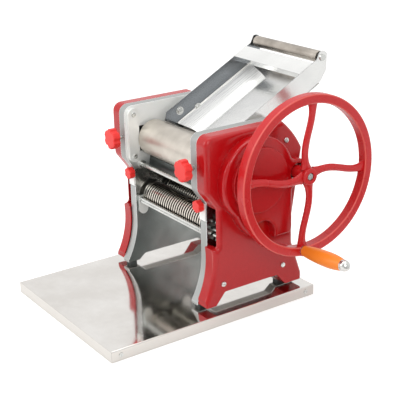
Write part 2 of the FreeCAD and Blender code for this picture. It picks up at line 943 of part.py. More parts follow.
def hollow(sketch, inset, depth, side=1, joint="Intersection"):
    """The space inside an outline, set in from it by a wall."""
    shrunk = document.addObject("Part::Offset2D", "Inset")
    shrunk.Source = sketch
    shrunk.Join = joint
    bind(shrunk, Value=-inset)
    space = document.addObject("Part::Extrusion", "Space")
    space.Base = shrunk
    space.DirMode = "Custom"
    space.Dir = Vector(side, 0, 0)
    space.Solid = True
    return bind(space, LengthFwd=depth)


def circles_meet(first, first_radius, second, second_radius):
    """Where two circles cross, on the left of the way from the first centre to the second."""
    across, up = second[0] - first[0], second[1] - first[1]
    apart = root(across * across + up * up)
    along = (first_radius * first_radius - second_radius * second_radius + apart * apart) / (apart * 2)
    aside = root(first_radius * first_radius - along * along)
    return (first[0] + (along * across - aside * up) / apart,
            first[1] + (along * up + aside * across) / apart)


def bulge(body):
    """The raised part of the right cover over the reduction gear, with a boss round the wheel's
    shaft, a scoop in its lower edge and a disc. Returns the spaces inside them."""
    foot = size.foot_z
    wall = size.cover_wall
    start = size.cover_face - size.cover_round
    radius = size.bulge_radius
    middle = (size.bulge_y, foot + size.bulge_rise)
    drop = size.lobe_front_rise - size.bulge_rise
    front_y = size.bulge_y - root(radius * radius - drop * drop)
    boss = size.hub_boss_radius
    hub = (size.wheel_y, size.wheel_z)
    step = hub[0] - size.lobe_back_y
    lobe_back = (size.lobe_back_y, foot + size.lobe_low_rise)
    boss_low = (size.lobe_back_y, hub[1] - root(boss * boss - step * step))
    boss_high = circles_meet(middle, radius, hub, boss)
    sketch = sketch_on(body, "YZ_Plane", start)
    draw_outline(sketch, [
        (size.lobe_low_y, foot + size.lobe_low_rise),
        lobe_back,
        (*boss_low, boss, True),
        (hub[0] + boss, hub[1], boss, True),
        (*boss_high, radius, True),
        (middle[0], middle[1] + radius, radius, True),
        (middle[0] - radius, middle[1], radius, True),
        (front_y, foot + size.lobe_front_rise, size.lobe_bend_radius, True),
    ])
    raised = pad(body, sketch, size.bulge_face - start)
    raised = round_edges(body, raised, along_x_at(lobe_back, boss_low, boss_high), size.bulge_corner)
    scoop = sketch_on(body, "YZ_Plane", size.cover_face)
    draw_circle(scoop, size.scoop_y, foot + size.scoop_rise, size.scoop_radius)
    raised = pocket(body, scoop, size.bulge_height, backwards=True)
    round_edges(body, raised, in_plane_x(size.bulge_face), size.bulge_round)
    disc = sketch_on(body, "YZ_Plane", size.bulge_face - wall)
    draw_circle(disc, *middle, size.disc_radius)
    raised = pad(body, disc, size.disc_height + wall)
    body.Tip = round_edges(body, raised, in_plane_x(size.bulge_face + size.disc_height), size.disc_round)
    behind_scoop = cylinder("x", size.scoop_radius + wall, size.bulge_face - start, start,
                            size.scoop_y, foot + size.scoop_rise)
    return [
        cut(hollow(sketch, wall, size.bulge_face - wall - start, joint="Arc"), behind_scoop),
        hollow(disc, wall, size.disc_height),
    ]


def cover_fixings():
    """Screws through the covers and the posts that keep the covers off the frames."""
    posts = []
    screws = []
    for side in (-1, 1):
        inside = size.cover_depth - size.cover_wall
        for y, z in cover_screw_spots():
            post_x = size.frame_outer if side > 0 else -size.frame_outer - inside
            posts.append(ring("x", size.post_radius, size.cover_screw_radius, inside, post_x, y, z))
            length = size.cover_depth + size.cover_screw_bite
            shank_x = size.cover_face - length if side > 0 else -size.cover_face
            head_x = size.cover_face if side > 0 else -size.cover_face - size.cover_screw_head
            screws.append(joined(
                cylinder("x", size.cover_screw_radius, length, shank_x, y, z),
                cylinder("x", size.cover_screw_head_radius, size.cover_screw_head, head_x, y, z)))
    keep("cover_posts", group(*posts))
    keep("cover_screws", group(*screws))


def keepers():
    """Bars with round ends on the frames' inner faces, beside the bearing blocks."""
    screws = []
    half = size.keeper_width / 2
    low = size.foot_z + size.keeper_low_rise
    high = size.foot_z + size.keeper_high_rise
    for side, label in ((-1, "keeper_left"), (1, "keeper_right")):
        start = size.frame_inner - size.keeper_thickness if side > 0 else -size.frame_inner
        body = new_body(start)
        sketch = sketch_on(body, "YZ_Plane")
        front, back = size.keeper_front_y, size.keeper_front_y + size.keeper_width
        middle = front + half
        draw_outline(sketch, [
            (middle, low, half, True),
            (back, low + half),
            (back, high - half, half, True),
            (middle, high, half, True),
            (front, high - half),
            (front, low + half, half, True),
        ])
        for y, z in keeper_screw_spots():
            draw_circle(sketch, y, z, size.keeper_screw_radius)
        pad(body, sketch, size.keeper_thickness)
        keep(label, body)
        length = size.keeper_thickness + size.keeper_screw_bite
        inner = size.frame_inner - size.keeper_thickness
        shank_x = inner if side > 0 else -inner - length
        head_x = inner - size.keeper_screw_head if side > 0 else -inner
        for y, z in keeper_screw_spots():
            screws.append(joined(
                cylinder("x", size.keeper_screw_radius, length, shank_x, y, z),
                cylinder("x", size.keeper_screw_head_radius, size.keeper_screw_head, head_x, y, z)))
    keep("keeper_screws", group(*screws))


def bushes():
    thickness = size.frame_thickness
    spots = {"roller_bushes": [(size.rear_roller_y, size.rear_roller_z)],
             "cutter_bushes": [(size.cutter_y, size.cutter_z), (size.rear_cutter_y, size.cutter_z)]}
    radii = {"roller_bushes": (bush_radius(), size.journal_radius),
             "cutter_bushes": (cutter_bush_radius(), size.cutter_journal_radius)}
    for label, centres in spots.items():
        outer, journal = radii[label]
        rings = [ring("x", outer, journal + size.running_gap, thickness, x, y, z)
                 for x in (size.frame_inner, -size.frame_outer) for y, z in centres]
        keep(label, group(*rings))
    keep("wheel_shaft_bush", ring("x", wheel_bush_radius(), size.wheel_shaft_radius + size.running_gap,
                                  thickness, size.frame_inner, size.wheel_y, size.wheel_z))


def rods():
    """Tie rods between the frames with their nuts, and a collar on the front rod."""
    nuts = []
    labels = ("front_tie_rod", "rear_tie_rod")
    half = size.frame_outer + size.rod_nut
    for label, (y, z) in zip(labels, rod_spots()):
        keep(label, cylinder("x", size.rod_radius, half * 2, -half, y, z))
        for start in (size.frame_outer, -half):
            nuts.append(cut(hexagon("x", size.rod_nut_radius, size.rod_nut, start, y, z),
                            cylinder("x", size.rod_radius, size.rod_nut, start, y, z)))
    keep("tie_rod_nuts", group(*nuts))
    y, z = rod_spots()[0]
    keep("tie_rod_collars", group(*[
        ring("x", size.rod_collar_radius, size.rod_radius, size.rod_collar, start, y, z)
        for start in (-size.frame_inner, size.frame_inner - size.rod_collar)]))


def idler_stud():
    start = size.frame_inner + size.blind_wall
    head_x = size.drive_end + size.gear_end_play
    keep("idler_stud", joined(
        cylinder("x", size.stud_radius, head_x - start, start, size.idler_y, size.idler_z),
        cylinder("x", size.stud_head_radius, size.stud_head, head_x, size.idler_y, size.idler_z)))


def guide(label, low, high):
    """A sheet between the frames that leads the dough down to the cutters."""
    body = new_body(-size.frame_inner)
    sketch = sketch_on(body, "YZ_Plane")
    draw_outline(sketch, [low, (low[0] + size.guide_thickness, low[1]),
                          (high[0] + size.guide_thickness, high[1]), high])
    pad(body, sketch, size.frame_gap)
    keep(label, body)


def guides():
    foot = size.foot_z
    guide("guide_plate", (size.guide_low_y, foot + size.guide_low_rise),
          (size.guide_high_y, foot + size.guide_high_rise))
    guide("rear_guide_plate", (size.back_guide_low_y, foot + size.back_guide_low_rise),
          (size.back_guide_high_y, foot + size.back_guide_high_rise))


def comb(label, direction, bar_y, grooves):
    """A bar with teeth that reach into the grooves of a cutter from below."""
    bar_z = size.foot_z + size.comb_bar_rise
    half = size.comb_bar_thickness / 2
    rise = size.comb_bar_height / 2
    reach = size.frame_inner - size.bracket_thickness
    body = new_body(0, bar_y, bar_z)
    bar = sketch_on(body, "YZ_Plane", -reach)
    lip = size.comb_groove / 2
    outer = -direction * half
    step = outer + direction * lip
    inner = direction * half
    corners = [(inner, -rise), (inner, rise), (outer, rise), (outer, lip), (step, lip), (step, -lip),
               (outer, -lip), (outer, -rise)]
    draw_outline(bar, corners if direction > 0 else corners[::-1])
    pad(body, bar, reach * 2)
    width = size.comb_tooth_width
    first = -(grooves - 1) * size.ring_pitch / 2
    tooth = sketch_on(body, "YZ_Plane", first - width / 2)
    tip = direction * size.comb_reach
    low = -rise
    corners = [(0, low), (tip, low - size.comb_drop + size.comb_tooth_height),
               (tip, low - size.comb_drop + size.comb_tip_height),
               (0, low + size.comb_tooth_height)]
    draw_outline(tooth, corners if direction > 0 else corners[::-1])
    teeth = pad(body, tooth, width)
    row = body.newObject("PartDesign::LinearPattern", "Teeth")
    row.Originals = [teeth]
    row.Direction = (origin_feature(body, "X_Axis"), [""])
    bind(row, Length=(grooves - 1) * size.ring_pitch, Occurrences=grooves)
    body.Tip = row
    keep(label, body)


def combs():
    comb("comb_front", 1, size.comb_bar_y, size.ring_count - 1)
    rear_y = size.cutter_y + size.rear_cutter_y - size.comb_bar_y
    comb("comb_rear", -1, rear_y, size.ring_count - 2)
    tabs = []
    width = size.bracket_width
    mirror = size.cutter_y + size.rear_cutter_y
    for side in (-1, 1):
        inner = size.frame_inner - size.bracket_thickness
        x = (inner, size.frame_inner) if side > 0 else (-size.frame_inner, -inner)
        for y in (size.bracket_front_y, mirror - size.bracket_front_y - width):
            round_z = size.foot_z + size.bracket_low_rise + width / 2
            tabs.append(joined(
                box(x, (y, y + width), (round_z, size.foot_z + size.bracket_high_rise)),
                cylinder("x", width / 2, size.bracket_thickness, x[0], y + width / 2, round_z)))
    keep("comb_brackets", group(*tabs))


def clips():
    """Bright plates on the frames' front edges, held by the clamp knobs."""
    plates = []
    for side in (-1, 1):
        x = (size.frame_inner, size.frame_outer) if side > 0 else (-size.frame_outer, -size.frame_inner)
        slab = box(x, (size.clip_face_y, size.waist_y),
                   (size.foot_z + size.clip_low_rise, size.foot_z + size.clip_high_rise))
        hole = cylinder("y", size.clamp_screw_radius + size.screw_gap, size.clip_thickness,
                        side * size.clamp_x, size.clip_face_y, size.foot_z + size.clamp_rise)
        plates.append(cut(slab, hole))
    keep("clip_plates", group(*plates))


def chute_body():
    """A body in the chute's own frame: Y along its top edge, Z square to it."""
    body = new_body(0, size.chute_top_y, size.foot_z + size.chute_top_rise,
                    Rotation(Vector(1, 0, 0), 1))
    return bind(body, Placement__Rotation__Angle=size.chute_tilt)


def chute():
    """The folded sheet chute: a floor and two side walls with ears for the end roller."""
    half = size.chute_half
    gauge = size.chute_sheet
    floor_z = -size.chute_depth
    body = chute_body()
    floor = sketch_on(body, "YZ_Plane", -half)
    draw_outline(floor, [(size.chute_floor_start, floor_z - gauge), (size.chute_floor_end, floor_z - gauge),
                         (size.chute_floor_end, floor_z), (size.chute_floor_start, floor_z)])
    pad(body, floor, size.chute_width)
    wall = sketch_on(body, "YZ_Plane", half - gauge)
    ear_end = size.ear_along + size.ear_radius
    draw_outline(wall, [
        (size.chute_floor_start, floor_z - gauge),
        (size.chute_heel_along, -size.chute_heel_depth - gauge),
        (size.ear_back_along, -size.ear_back_depth),
        (ear_end, -size.ear_depth, size.ear_radius, True),
        (size.ear_along, size.ear_radius - size.ear_depth),
        (size.ear_along - size.ear_radius, 0),
        (size.chute_front_along, 0),
        (size.chute_nose_along, -size.chute_nose_depth),
    ])
    draw_circle(wall, size.ear_along, -size.ear_depth, size.end_pin_radius)
    draw_circle(wall, size.front_fixing_along, -size.front_fixing_depth, size.fixing_radius)
    draw_circle(wall, size.rear_fixing_along, -size.rear_fixing_depth, size.fixing_radius)
    side = pad(body, wall, gauge)
    both = body.newObject("PartDesign::Mirrored", "Walls")
    both.Originals = [side]
    both.MirrorPlane = (origin_feature(body, "YZ_Plane"), [""])
    body.Tip = both
    keep("chute", body)


def bridge_plate():
    """The cross plate on the chute's walls, with a lip folded down at its front."""
    half = size.chute_half
    gauge = size.chute_sheet
    body = chute_body()
    top = sketch_on(body, "YZ_Plane", -half)
    draw_outline(top, [(size.bridge_start, 0), (size.bridge_end, 0), (size.bridge_end, gauge),
                       (size.bridge_start, gauge)])
    pad(body, top, size.chute_width)
    lip = sketch_on(body, "YZ_Plane", gauge - half)
    draw_outline(lip, [(size.bridge_start, -size.bridge_lip), (size.bridge_start + gauge, -size.bridge_lip),
                       (size.bridge_start + gauge, gauge), (size.bridge_start, gauge)])
    pad(body, lip, size.chute_width - gauge * 2)
    keep("bridge_plate", body)


def chute_fixings():
    """Spacers between the chute and the frames, and the screws through them."""
    spacers = []
    screws = []
    gap = size.frame_inner - size.chute_half
    inside = size.chute_half - size.chute_sheet
    length = size.frame_inner + size.fixing_bite - inside
    for side in (-1, 1):
        for y, z in fixing_spots():
            spacer_x = size.chute_half if side > 0 else -size.frame_inner
            spacers.append(ring("x", size.spacer_radius, size.fixing_radius, gap, spacer_x, y, z))
            shank_x = inside if side > 0 else -inside - length
            head_x = inside - size.fixing_head if side > 0 else -inside
            screws.append(joined(
                cylinder("x", size.fixing_radius, length, shank_x, y, z),
                cylinder("x", size.fixing_head_radius, size.fixing_head, head_x, y, z)))
    keep("chute_spacers", group(*spacers))
    keep("chute_screws", group(*screws))


def end_roller():
    """The small free roller at the top of the chute and its pin."""
    y, z = from_chute(size.ear_along, size.ear_depth)
    half = size.chute_half
    length = size.end_roller_length
    head = size.end_pin_head
    keep("end_roller_pin", turned([
        (-half - head, -half, size.end_pin_head_radius),
        (-half, half, size.end_pin_radius),
        (half, half + head, size.end_pin_head_radius)], y, z))
    keep("end_roller", ring("x", size.end_roller_radius, size.end_pin_radius + size.running_gap,
                            length, -length / 2, y, z))


def press_roller(label, y, z, right_end):
    """A press roller: its barrel, its journals and the seat of the pair gear on the left."""
    half = size.roller_length / 2
    bevel = size.roller_bevel
    shoulder = size.frame_outer + size.layer_start / 2
    left = size.layer_x + size.pair_face
    body = new_body(0, y, z)
    sketch = sketch_on(body, "XY_Plane")
    draw_outline(sketch, [
        (-left, 0),
        *right_end,
        (half, size.journal_radius),
        (half, size.roller_radius - bevel),
        (half - bevel, size.roller_radius),
        (bevel - half, size.roller_radius),
        (-half, size.roller_radius - bevel),
        (-half, size.journal_radius),
        (-shoulder, size.journal_radius),
        (-shoulder, size.gear_seat_radius),
        (-left, size.gear_seat_radius),
    ])
    revolve(body, sketch)
    keep(label, body)


def press_rollers():
    stop = size.reduction_end + size.shaft_stub
    shoulder = size.frame_outer + size.layer_start / 2
    press_roller("rear_roller", size.rear_roller_y, size.rear_roller_z, [
        (stop, 0), (stop, size.gear_seat_radius), (shoulder, size.gear_seat_radius),
        (shoulder, size.journal_radius)])
    press_roller("front_roller", size.front_roller_y, size.front_roller_z, [
        (size.frame_outer, 0), (size.frame_outer, size.journal_radius)])


def bearing_blocks():
    """Sliding blocks that carry the front roller; a blind hole takes each screw's tip."""
    blocks = []
    half_length = size.block_length / 2
    half_height = size.block_height / 2
    front = size.front_roller_y - half_length
    for side in (-1, 1):
        near = size.frame_inner + size.block_inset
        far = size.frame_outer - size.block_inset
        x = (near, far) if side > 0 else (-far, -near)
        block = box(x, (front, size.front_roller_y + half_length),
                    (size.front_roller_z - half_height, size.front_roller_z + half_height))
        bore = cylinder("x", size.journal_radius + size.running_gap, far - near, x[0],
                        size.front_roller_y, size.front_roller_z)
        tip = cylinder("y", size.adjust_tip_radius + size.screw_gap, size.adjust_tip_length + size.screw_gap,
                       side * size.adjust_x, front, size.foot_z + size.adjust_rise)
        blocks.append(cut(block, bore, tip))
    keep("bearing_blocks", group(*blocks))


def lobed_knob(radius, thickness, lobe_radius, lobe_offset, round_radius, bore, bore_depth):
    """A scalloped knob along its own Z, with an optional blind bore in its back."""
    body = new_body()
    sketch = sketch_on(body, "XY_Plane")
    draw_circle(sketch, 0, 0, radius)
    pad(body, sketch, thickness)
    scallop = sketch_on(body, "XY_Plane")
    draw_circle(scallop, lobe_offset, 0, lobe_radius)
    notch = pocket(body, scallop, thickness, backwards=True)
    notches = body.newObject("PartDesign::PolarPattern", "Notches")
    notches.Originals = [notch]
    notches.Axis = (origin_feature(body, "Z_Axis"), [""])
    notches.Angle = 360
    bind(notches, Occurrences=size.knob_lobes)
    body.Tip = notches

    def at_ends(edge):
        bounds = edge.BoundBox
        return bounds.ZLength < 0.01 and bounds.ZMin > thickness - 0.01

    rounded = round_edges(body, notches, at_ends, round_radius)
    body.Tip = rounded
    if bore:
        hole = sketch_on(body, "XY_Plane")
        draw_circle(hole, 0, 0, bore)
        body.Tip = pocket(body, hole, bore_depth, backwards=True)
    return body


TOWARDS_FRONT = Rotation(Vector(1, 0, 0), 90)


def adjust_knobs():
    """The big knobs and their screws, which push the bearing blocks."""
    z = size.foot_z + size.adjust_rise
    front = size.front_roller_y - size.block_length / 2
    for side, name in ((-1, "left"), (1, "right")):
        x = side * size.adjust_x
        body = lobed_knob(size.adjust_knob_radius, size.adjust_knob_thickness, size.knob_lobe_radius,
                          size.knob_lobe_offset, size.knob_round, size.adjust_screw_radius,
                          size.knob_grip_depth)
        body.Placement = Placement(Vector(), TOWARDS_FRONT)
        keep(f"adjust_knob_{name}", move(body, x, size.adjust_knob_y, z))
        start = size.adjust_knob_y - size.knob_grip_depth
        stop = front - size.screw_gap
        keep(f"adjust_screw_{name}", joined(
            cylinder("y", size.adjust_screw_radius, stop - start, x, start, z),
            cylinder("y", size.adjust_tip_radius, front + size.adjust_tip_length - start, x, start, z)))


def clamp_knobs():
    """The small knobs, each moulded on its screw."""
    z = size.foot_z + size.clamp_rise
    back = size.clip_face_y - size.clamp_gap
    for side, name in ((-1, "left"), (1, "right")):
        x = side * size.clamp_x
        body = lobed_knob(size.clamp_knob_radius, size.clamp_knob_thickness, size.clamp_lobe_radius,
                          size.clamp_lobe_offset, size.clamp_round, 0, 0)
        body.Placement = Placement(Vector(), TOWARDS_FRONT)
        move(body, x, back, z)
        reach = size.waist_y + size.clamp_screw_reach - size.screw_gap - back
        screw = cylinder("y", size.clamp_screw_radius, reach + size.clamp_round,
                         x, back - size.clamp_round, z)
        keep(f"clamp_knob_{name}", joined(body, screw))


def involute(angle):
    return math.tan(angle) - angle


def gear_wire(module, teeth, shift, addendum, dedendum, backlash):
    """The outline of an involute gear about X, with one tooth centred on +Y."""
    pressure = math.radians(20)
    pitch_radius = module * teeth / 2
    base_radius = pitch_radius * math.cos(pressure)
    tip_radius = pitch_radius + module * (addendum + shift)
    root_radius = pitch_radius - module * (dedendum - shift)
    half_tooth = (math.pi / 2 + 2 * shift * math.tan(pressure)) / teeth - backlash / (4 * pitch_radius)

    def point(radius, angle):
        return Vector(0, radius * math.cos(angle), radius * math.sin(angle))

    def half_width(radius):
        if radius <= base_radius:
            return half_tooth + involute(pressure)
        return half_tooth + involute(pressure) - involute(math.acos(base_radius / radius))

    foot_radius = max(base_radius, root_radius)
    middle_radius = (foot_radius + tip_radius) / 2
    edges = []
    for index in range(teeth):
        centre = 2 * math.pi * index / teeth
        following = 2 * math.pi * (index + 1) / teeth
        flank = [(radius, half_width(radius)) for radius in (foot_radius, middle_radius, tip_radius)]
        rising = [point(radius, centre - width) for radius, width in flank]
        falling = [point(radius, centre + width) for radius, width in reversed(flank)]
        root_start = point(root_radius, centre + half_width(root_radius))
        root_end = point(root_radius, following - half_width(root_radius))
        if root_radius < base_radius:
            edges.append(Part.LineSegment(point(root_radius, centre - half_width(root_radius)), rising[0]))
        edges.append(Part.Arc(*rising))
        edges.append(Part.Arc(rising[2], point(tip_radius, centre), falling[0]))
        edges.append(Part.Arc(*falling))
        if root_radius < base_radius:
            edges.append(Part.LineSegment(falling[2], root_start))
        middle = point(root_radius, (centre + following) / 2)
        edges.append(Part.Arc(root_start, middle, root_end))
    return Part.Wire([edge.toShape() for edge in edges])


def gear(label, wire, start, end, y, z, angle, bore, hub=None):
    """A gear blank about X between start and end, with its hub reaching on to hub."""
    blank = Part.Face(wire).extrude(Vector(end - start, 0, 0))
    if hub:
        hub_start, hub_end = min(start, hub), max(end, hub)
        blank = blank.fuse(Part.makeCylinder(size.gear_hub_radius, hub_end - hub_start,
                                             Vector(hub_start - start, 0, 0), Vector(1, 0, 0)))
        low, reach = hub_start - start, hub_end - hub_start
    else:
        low, reach = 0, end - start
    blank = blank.cut(Part.makeCylinder(float(bore), float(reach), Vector(low, 0, 0), Vector(1, 0, 0)))
    item = document.addObject("Part::Feature", "Gear")
    item.Shape = blank.removeSplitter()
    item.Placement = Placement(Vector(start, y, z), Rotation(Vector(1, 0, 0), math.degrees(angle)))
    keep(label, item)


def heading(first, second):
    """The angle from one axis to another, from +Y towards +Z."""
    return math.atan2(second[1] - first[1], second[0] - first[0])


def mate_angle(angle, teeth, direction, mate_teeth):
    """The turn of a gear that puts its gap on the tooth of the gear it meshes with."""
    phase = 0.5 - (direction - angle) * teeth / (2 * math.pi)
    return direction + math.pi - phase * 2 * math.pi / mate_teeth


FULL_ADDENDUM = 1.0
FULL_DEDENDUM = 1.25
STUB_ADDENDUM = 0.8
STUB_DEDENDUM = 1.05


def gears():
    front = (size.front_roller_y, size.front_roller_z)
    rear = (size.rear_roller_y, size.rear_roller_z)
    wheel = (size.wheel_y, size.wheel_z)
    idler = (size.idler_y, size.idler_z)
    near_cutter = (size.cutter_y, size.cutter_z)
    far_cutter = (size.rear_cutter_y, size.cutter_z)
    seat = size.gear_seat_radius
    backlash = size.gear_backlash
    face_start, face_end = size.layer_x, size.drive_end

    pair_teeth = int(size.pair_teeth)
    pair_module = size.roller_pitch / pair_teeth
    pair = gear_wire(pair_module, pair_teeth, 0, FULL_ADDENDUM, FULL_DEDENDUM, size.pair_backlash)
    direction = heading(rear, front)
    pair_x = (-size.layer_x - size.pair_face, -size.layer_x)
    gear("rear_pair_gear", pair, *pair_x, *rear, direction, seat)
    gear("front_pair_gear", pair, *pair_x, *front,
         mate_angle(direction, pair_teeth, direction, pair_teeth), seat)

    module = size.reduction_module
    shift = size.pinion_shift
    large = gear_wire(module, int(size.reduction_teeth), -shift, STUB_ADDENDUM, STUB_DEDENDUM, backlash)
    small = gear_wire(module, int(size.pinion_teeth), shift, STUB_ADDENDUM, STUB_DEDENDUM, backlash)
    direction = heading(rear, wheel)
    turn = mate_angle(direction, int(size.reduction_teeth), direction, int(size.pinion_teeth))
    gear("reduction_gear", large, size.reduction_x, size.reduction_end, *rear, direction, seat,
         hub=size.drive_end)
    gear("pinion", small, size.reduction_x, size.reduction_end, *wheel, turn, size.wheel_shaft_radius)

    teeth = {name: int(getattr(size, f"{name}_teeth")) for name in ("drive", "idler", "cutter")}
    wires = {name: gear_wire(size.drive_module, count, 0, FULL_ADDENDUM, FULL_DEDENDUM, backlash)
             for name, count in teeth.items()}
    direction = heading(rear, idler)
    gear("roller_drive_gear", wires["drive"], face_start, face_end, *rear, direction, seat)
    idler_turn = mate_angle(direction, teeth["drive"], direction, teeth["idler"])
    gear("idler_gear", wires["idler"], face_start, face_end, *idler, idler_turn,
         size.stud_radius + size.running_gap)
    direction = heading(idler, far_cutter)
    far_turn = mate_angle(idler_turn, teeth["idler"], direction, teeth["cutter"])
    gear("rear_cutter_gear", wires["cutter"], face_start, face_end, *far_cutter, far_turn,
         size.cutter_seat_radius)
    direction = heading(far_cutter, near_cutter)
    near_turn = mate_angle(far_turn, teeth["cutter"], direction, teeth["cutter"])
    gear("front_cutter_gear", wires["cutter"], face_start, face_end, *near_cutter, near_turn,
         size.cutter_seat_radius)


def cutter(label, y, count):
    """A cutter roll: a core with rings, and journals that run in the frames."""
    half = size.frame_inner - size.bracket_thickness - size.cutter_side_gap
    shoulder = size.frame_outer + size.layer_start / 2
    body = new_body(0, y, size.cutter_z)
    shaft = sketch_on(body, "XY_Plane")
    draw_outline(shaft, [
        (-size.frame_outer, 0),
        (size.drive_end, 0),
        (size.drive_end, size.cutter_seat_radius),
        (shoulder, size.cutter_seat_radius),
        (shoulder, size.cutter_journal_radius),
        (half, size.cutter_journal_radius),
        (half, size.ring_root_radius),
        (-half, size.ring_root_radius),
        (-half, size.cutter_journal_radius),
        (-size.frame_outer, size.cutter_journal_radius),
    ])
    revolve(body, shaft)
    width = size.ring_width
    first = -(count - 1) * size.ring_pitch / 2
    edge = sketch_on(body, "YZ_Plane", first - width / 2)
    draw_circle(edge, 0, 0, size.ring_radius)
    disc = pad(body, edge, width)
    row = body.newObject("PartDesign::LinearPattern", "Rings")
    row.Originals = [disc]
    row.Direction = (origin_feature(body, "X_Axis"), [""])
    bind(row, Length=(count - 1) * size.ring_pitch, Occurrences=count)
    body.Tip = row
    keep(label, body)


SPOKE_STATIONS = [(0, 1), (0.06, 0.45), (0.14, 0.1), (0.3, 0), (0.5, 0), (0.7, 0), (0.86, 0.1),
                  (0.94, 0.45), (1, 1)]


RIM_SEAM = 45


def handwheel():
    """The cast handwheel: rim, four swayed spokes, hub and the boss for the handle."""
    body = new_body(0, size.wheel_y, size.wheel_z)
    rim = sketch_on(body, "XY_Plane")
    rim.AttachmentOffset = Placement(Vector(), Rotation(Vector(1, 0, 0), RIM_SEAM))
    half = size.rim_depth / 2
    bend = size.rim_round
    low, high = size.rim_radius - size.rim_width, size.rim_radius
    draw_outline(rim, [
        (size.rim_x - half + bend, low),
        (size.rim_x + half - bend, low, bend, True),
        (size.rim_x + half, low + bend),
        (size.rim_x + half, high - bend, bend, True),
        (size.rim_x + half - bend, high),
        (size.rim_x - half + bend, high, bend, True),
        (size.rim_x - half, high - bend),
        (size.rim_x - half, low + bend, bend, True),
    ])
    revolve(body, rim)

    inner = size.hub_radius - size.spoke_overlap
    outer = size.rim_radius - size.rim_width + size.spoke_overlap
    sections = []
    for share, flare in SPOKE_STATIONS:
        radius = inner + (outer - inner) * share
        wave = cosine(180 * (radius - size.spoke_start) / size.spoke_run)
        offset = size.spoke_sway * wave - size.spoke_lean
        section = sketch_on(body, "XY_Plane", radius)
        draw_oval(section, size.rim_x, -offset, size.spoke_depth / 2,
                  size.spoke_width / 2 + size.spoke_flare * flare)
        sections.append(section)
    spoke = body.newObject("PartDesign::AdditiveLoft", "Spoke")
    spoke.Profile = sections[0]
    spoke.Sections = sections[1:]
    spokes = body.newObject("PartDesign::PolarPattern", "Spokes")
    spokes.Originals = [spoke]
    spokes.Axis = (origin_feature(body, "X_Axis"), [""])
    spokes.Angle = 360
    bind(spokes, Occurrences=size.spoke_count)
    body.Tip = spokes
    hub = sketch_on(body, "YZ_Plane", size.hub_back)
    draw_circle(hub, 0, 0, size.hub_radius)
    hub_pad = pad(body, hub, size.hub_front - size.hub_back)

    def at_faces(edge):
        bounds = edge.BoundBox
        on_end = abs(bounds.XMin - size.hub_front) < 0.01 or abs(bounds.XMax - size.hub_back) < 0.01
        return bounds.XLength < 0.01 and on_end

    body.Tip = round_edges(body, hub_pad, at_faces, size.hub_round)
    boss_start = size.rim_x
    boss = cylinder("x", size.boss_radius, size.handle_x - boss_start, boss_start, size.handle_y,
                    size.handle_z)
    bore = cylinder("x", size.wheel_seat_radius, size.hub_front - size.hub_back, size.hub_back,
                    size.wheel_y, size.wheel_z)
    recess = cylinder("x", size.hub_recess_radius, size.hub_recess, size.hub_front - size.hub_recess,
                      size.wheel_y, size.wheel_z)
    thread = turned([(-size.spindle_thread, size.spindle_flange / 2, size.spindle_thread_radius)],
                    size.handle_y, size.handle_z, rotation=handle_turn(), x=size.handle_x)
    flange = turned([(0, size.spindle_flange, size.spindle_flange_radius)], size.handle_y,
                    size.handle_z, rotation=handle_turn(), x=size.handle_x)
    keep("handwheel", cut(joined(body, boss), bore, recess, thread, flange))


def handle_turn():
    """The handle leans up from X by its cant."""
    return Rotation(Vector(0, -1, 0), float(size.handle_cant))


def wheel_shaft():
    """The shaft of the handwheel, its spacer sleeve and the nut sunk in the hub."""
    seat_end = size.hub_front - size.hub_recess
    stop = seat_end + size.nut_thickness + size.shaft_end
    spot = (size.wheel_y, size.wheel_z)
    keep("wheel_shaft", turned([
        (size.frame_inner + size.shaft_stub, size.hub_back, size.wheel_shaft_radius),
        (size.hub_back, seat_end, size.wheel_seat_radius),
        (seat_end, stop, size.wheel_thread_radius)], *spot))
    keep("wheel_sleeve", ring("x", size.sleeve_radius, size.wheel_shaft_radius,
                              size.hub_back - size.reduction_end, size.reduction_end, *spot))
    keep("wheel_nut", cut(hexagon("x", size.nut_radius, size.nut_thickness, seat_end, *spot),
                          cylinder("x", size.wheel_thread_radius, size.nut_thickness, seat_end, *spot)))


def handle():
    """The spindle in the wheel's boss, the grip that spins on it and the grip's end cap."""
    spot = (size.handle_y, size.handle_z)
    keep("handle_spindle", turned([
        (-size.spindle_thread, 0, size.spindle_thread_radius),
        (0, size.spindle_flange, size.spindle_flange_radius),
        (size.spindle_flange, size.spindle_length, size.spindle_radius)],
        *spot, rotation=handle_turn(), x=size.handle_x))
    bore = size.spindle_radius + size.spindle_gap
    start = size.grip_start
    stop = start + size.grip_length
    grip = new_body(size.handle_x, *spot, rotation=handle_turn())
    sketch = sketch_on(grip, "XY_Plane")
    draw_outline(sketch, [
        (start, bore),
        (stop, bore),
        (stop, size.grip_end_radius, size.grip_end_bend, True),
        (start + size.grip_swell, size.grip_large_radius, size.grip_swell_bend, True),
        (start, size.grip_small_radius),
    ])
    revolve(grip, sketch)
    keep("handle_grip", grip)
    cap = new_body(size.handle_x, *spot, rotation=handle_turn())
    sketch = sketch_on(cap, "XY_Plane")
    hollow = size.spindle_length + size.cap_gap
    end = stop + size.cap_length
    draw_outline(sketch, [
        (stop, bore),
        (hollow, bore),
        (hollow, 0),
        (end, 0, size.cap_bend, True),
        (stop + size.cap_edge, size.grip_end_radius),
        (stop, size.grip_end_radius),
    ])
    revolve(cap, sketch)
    keep("handle_cap", cap)


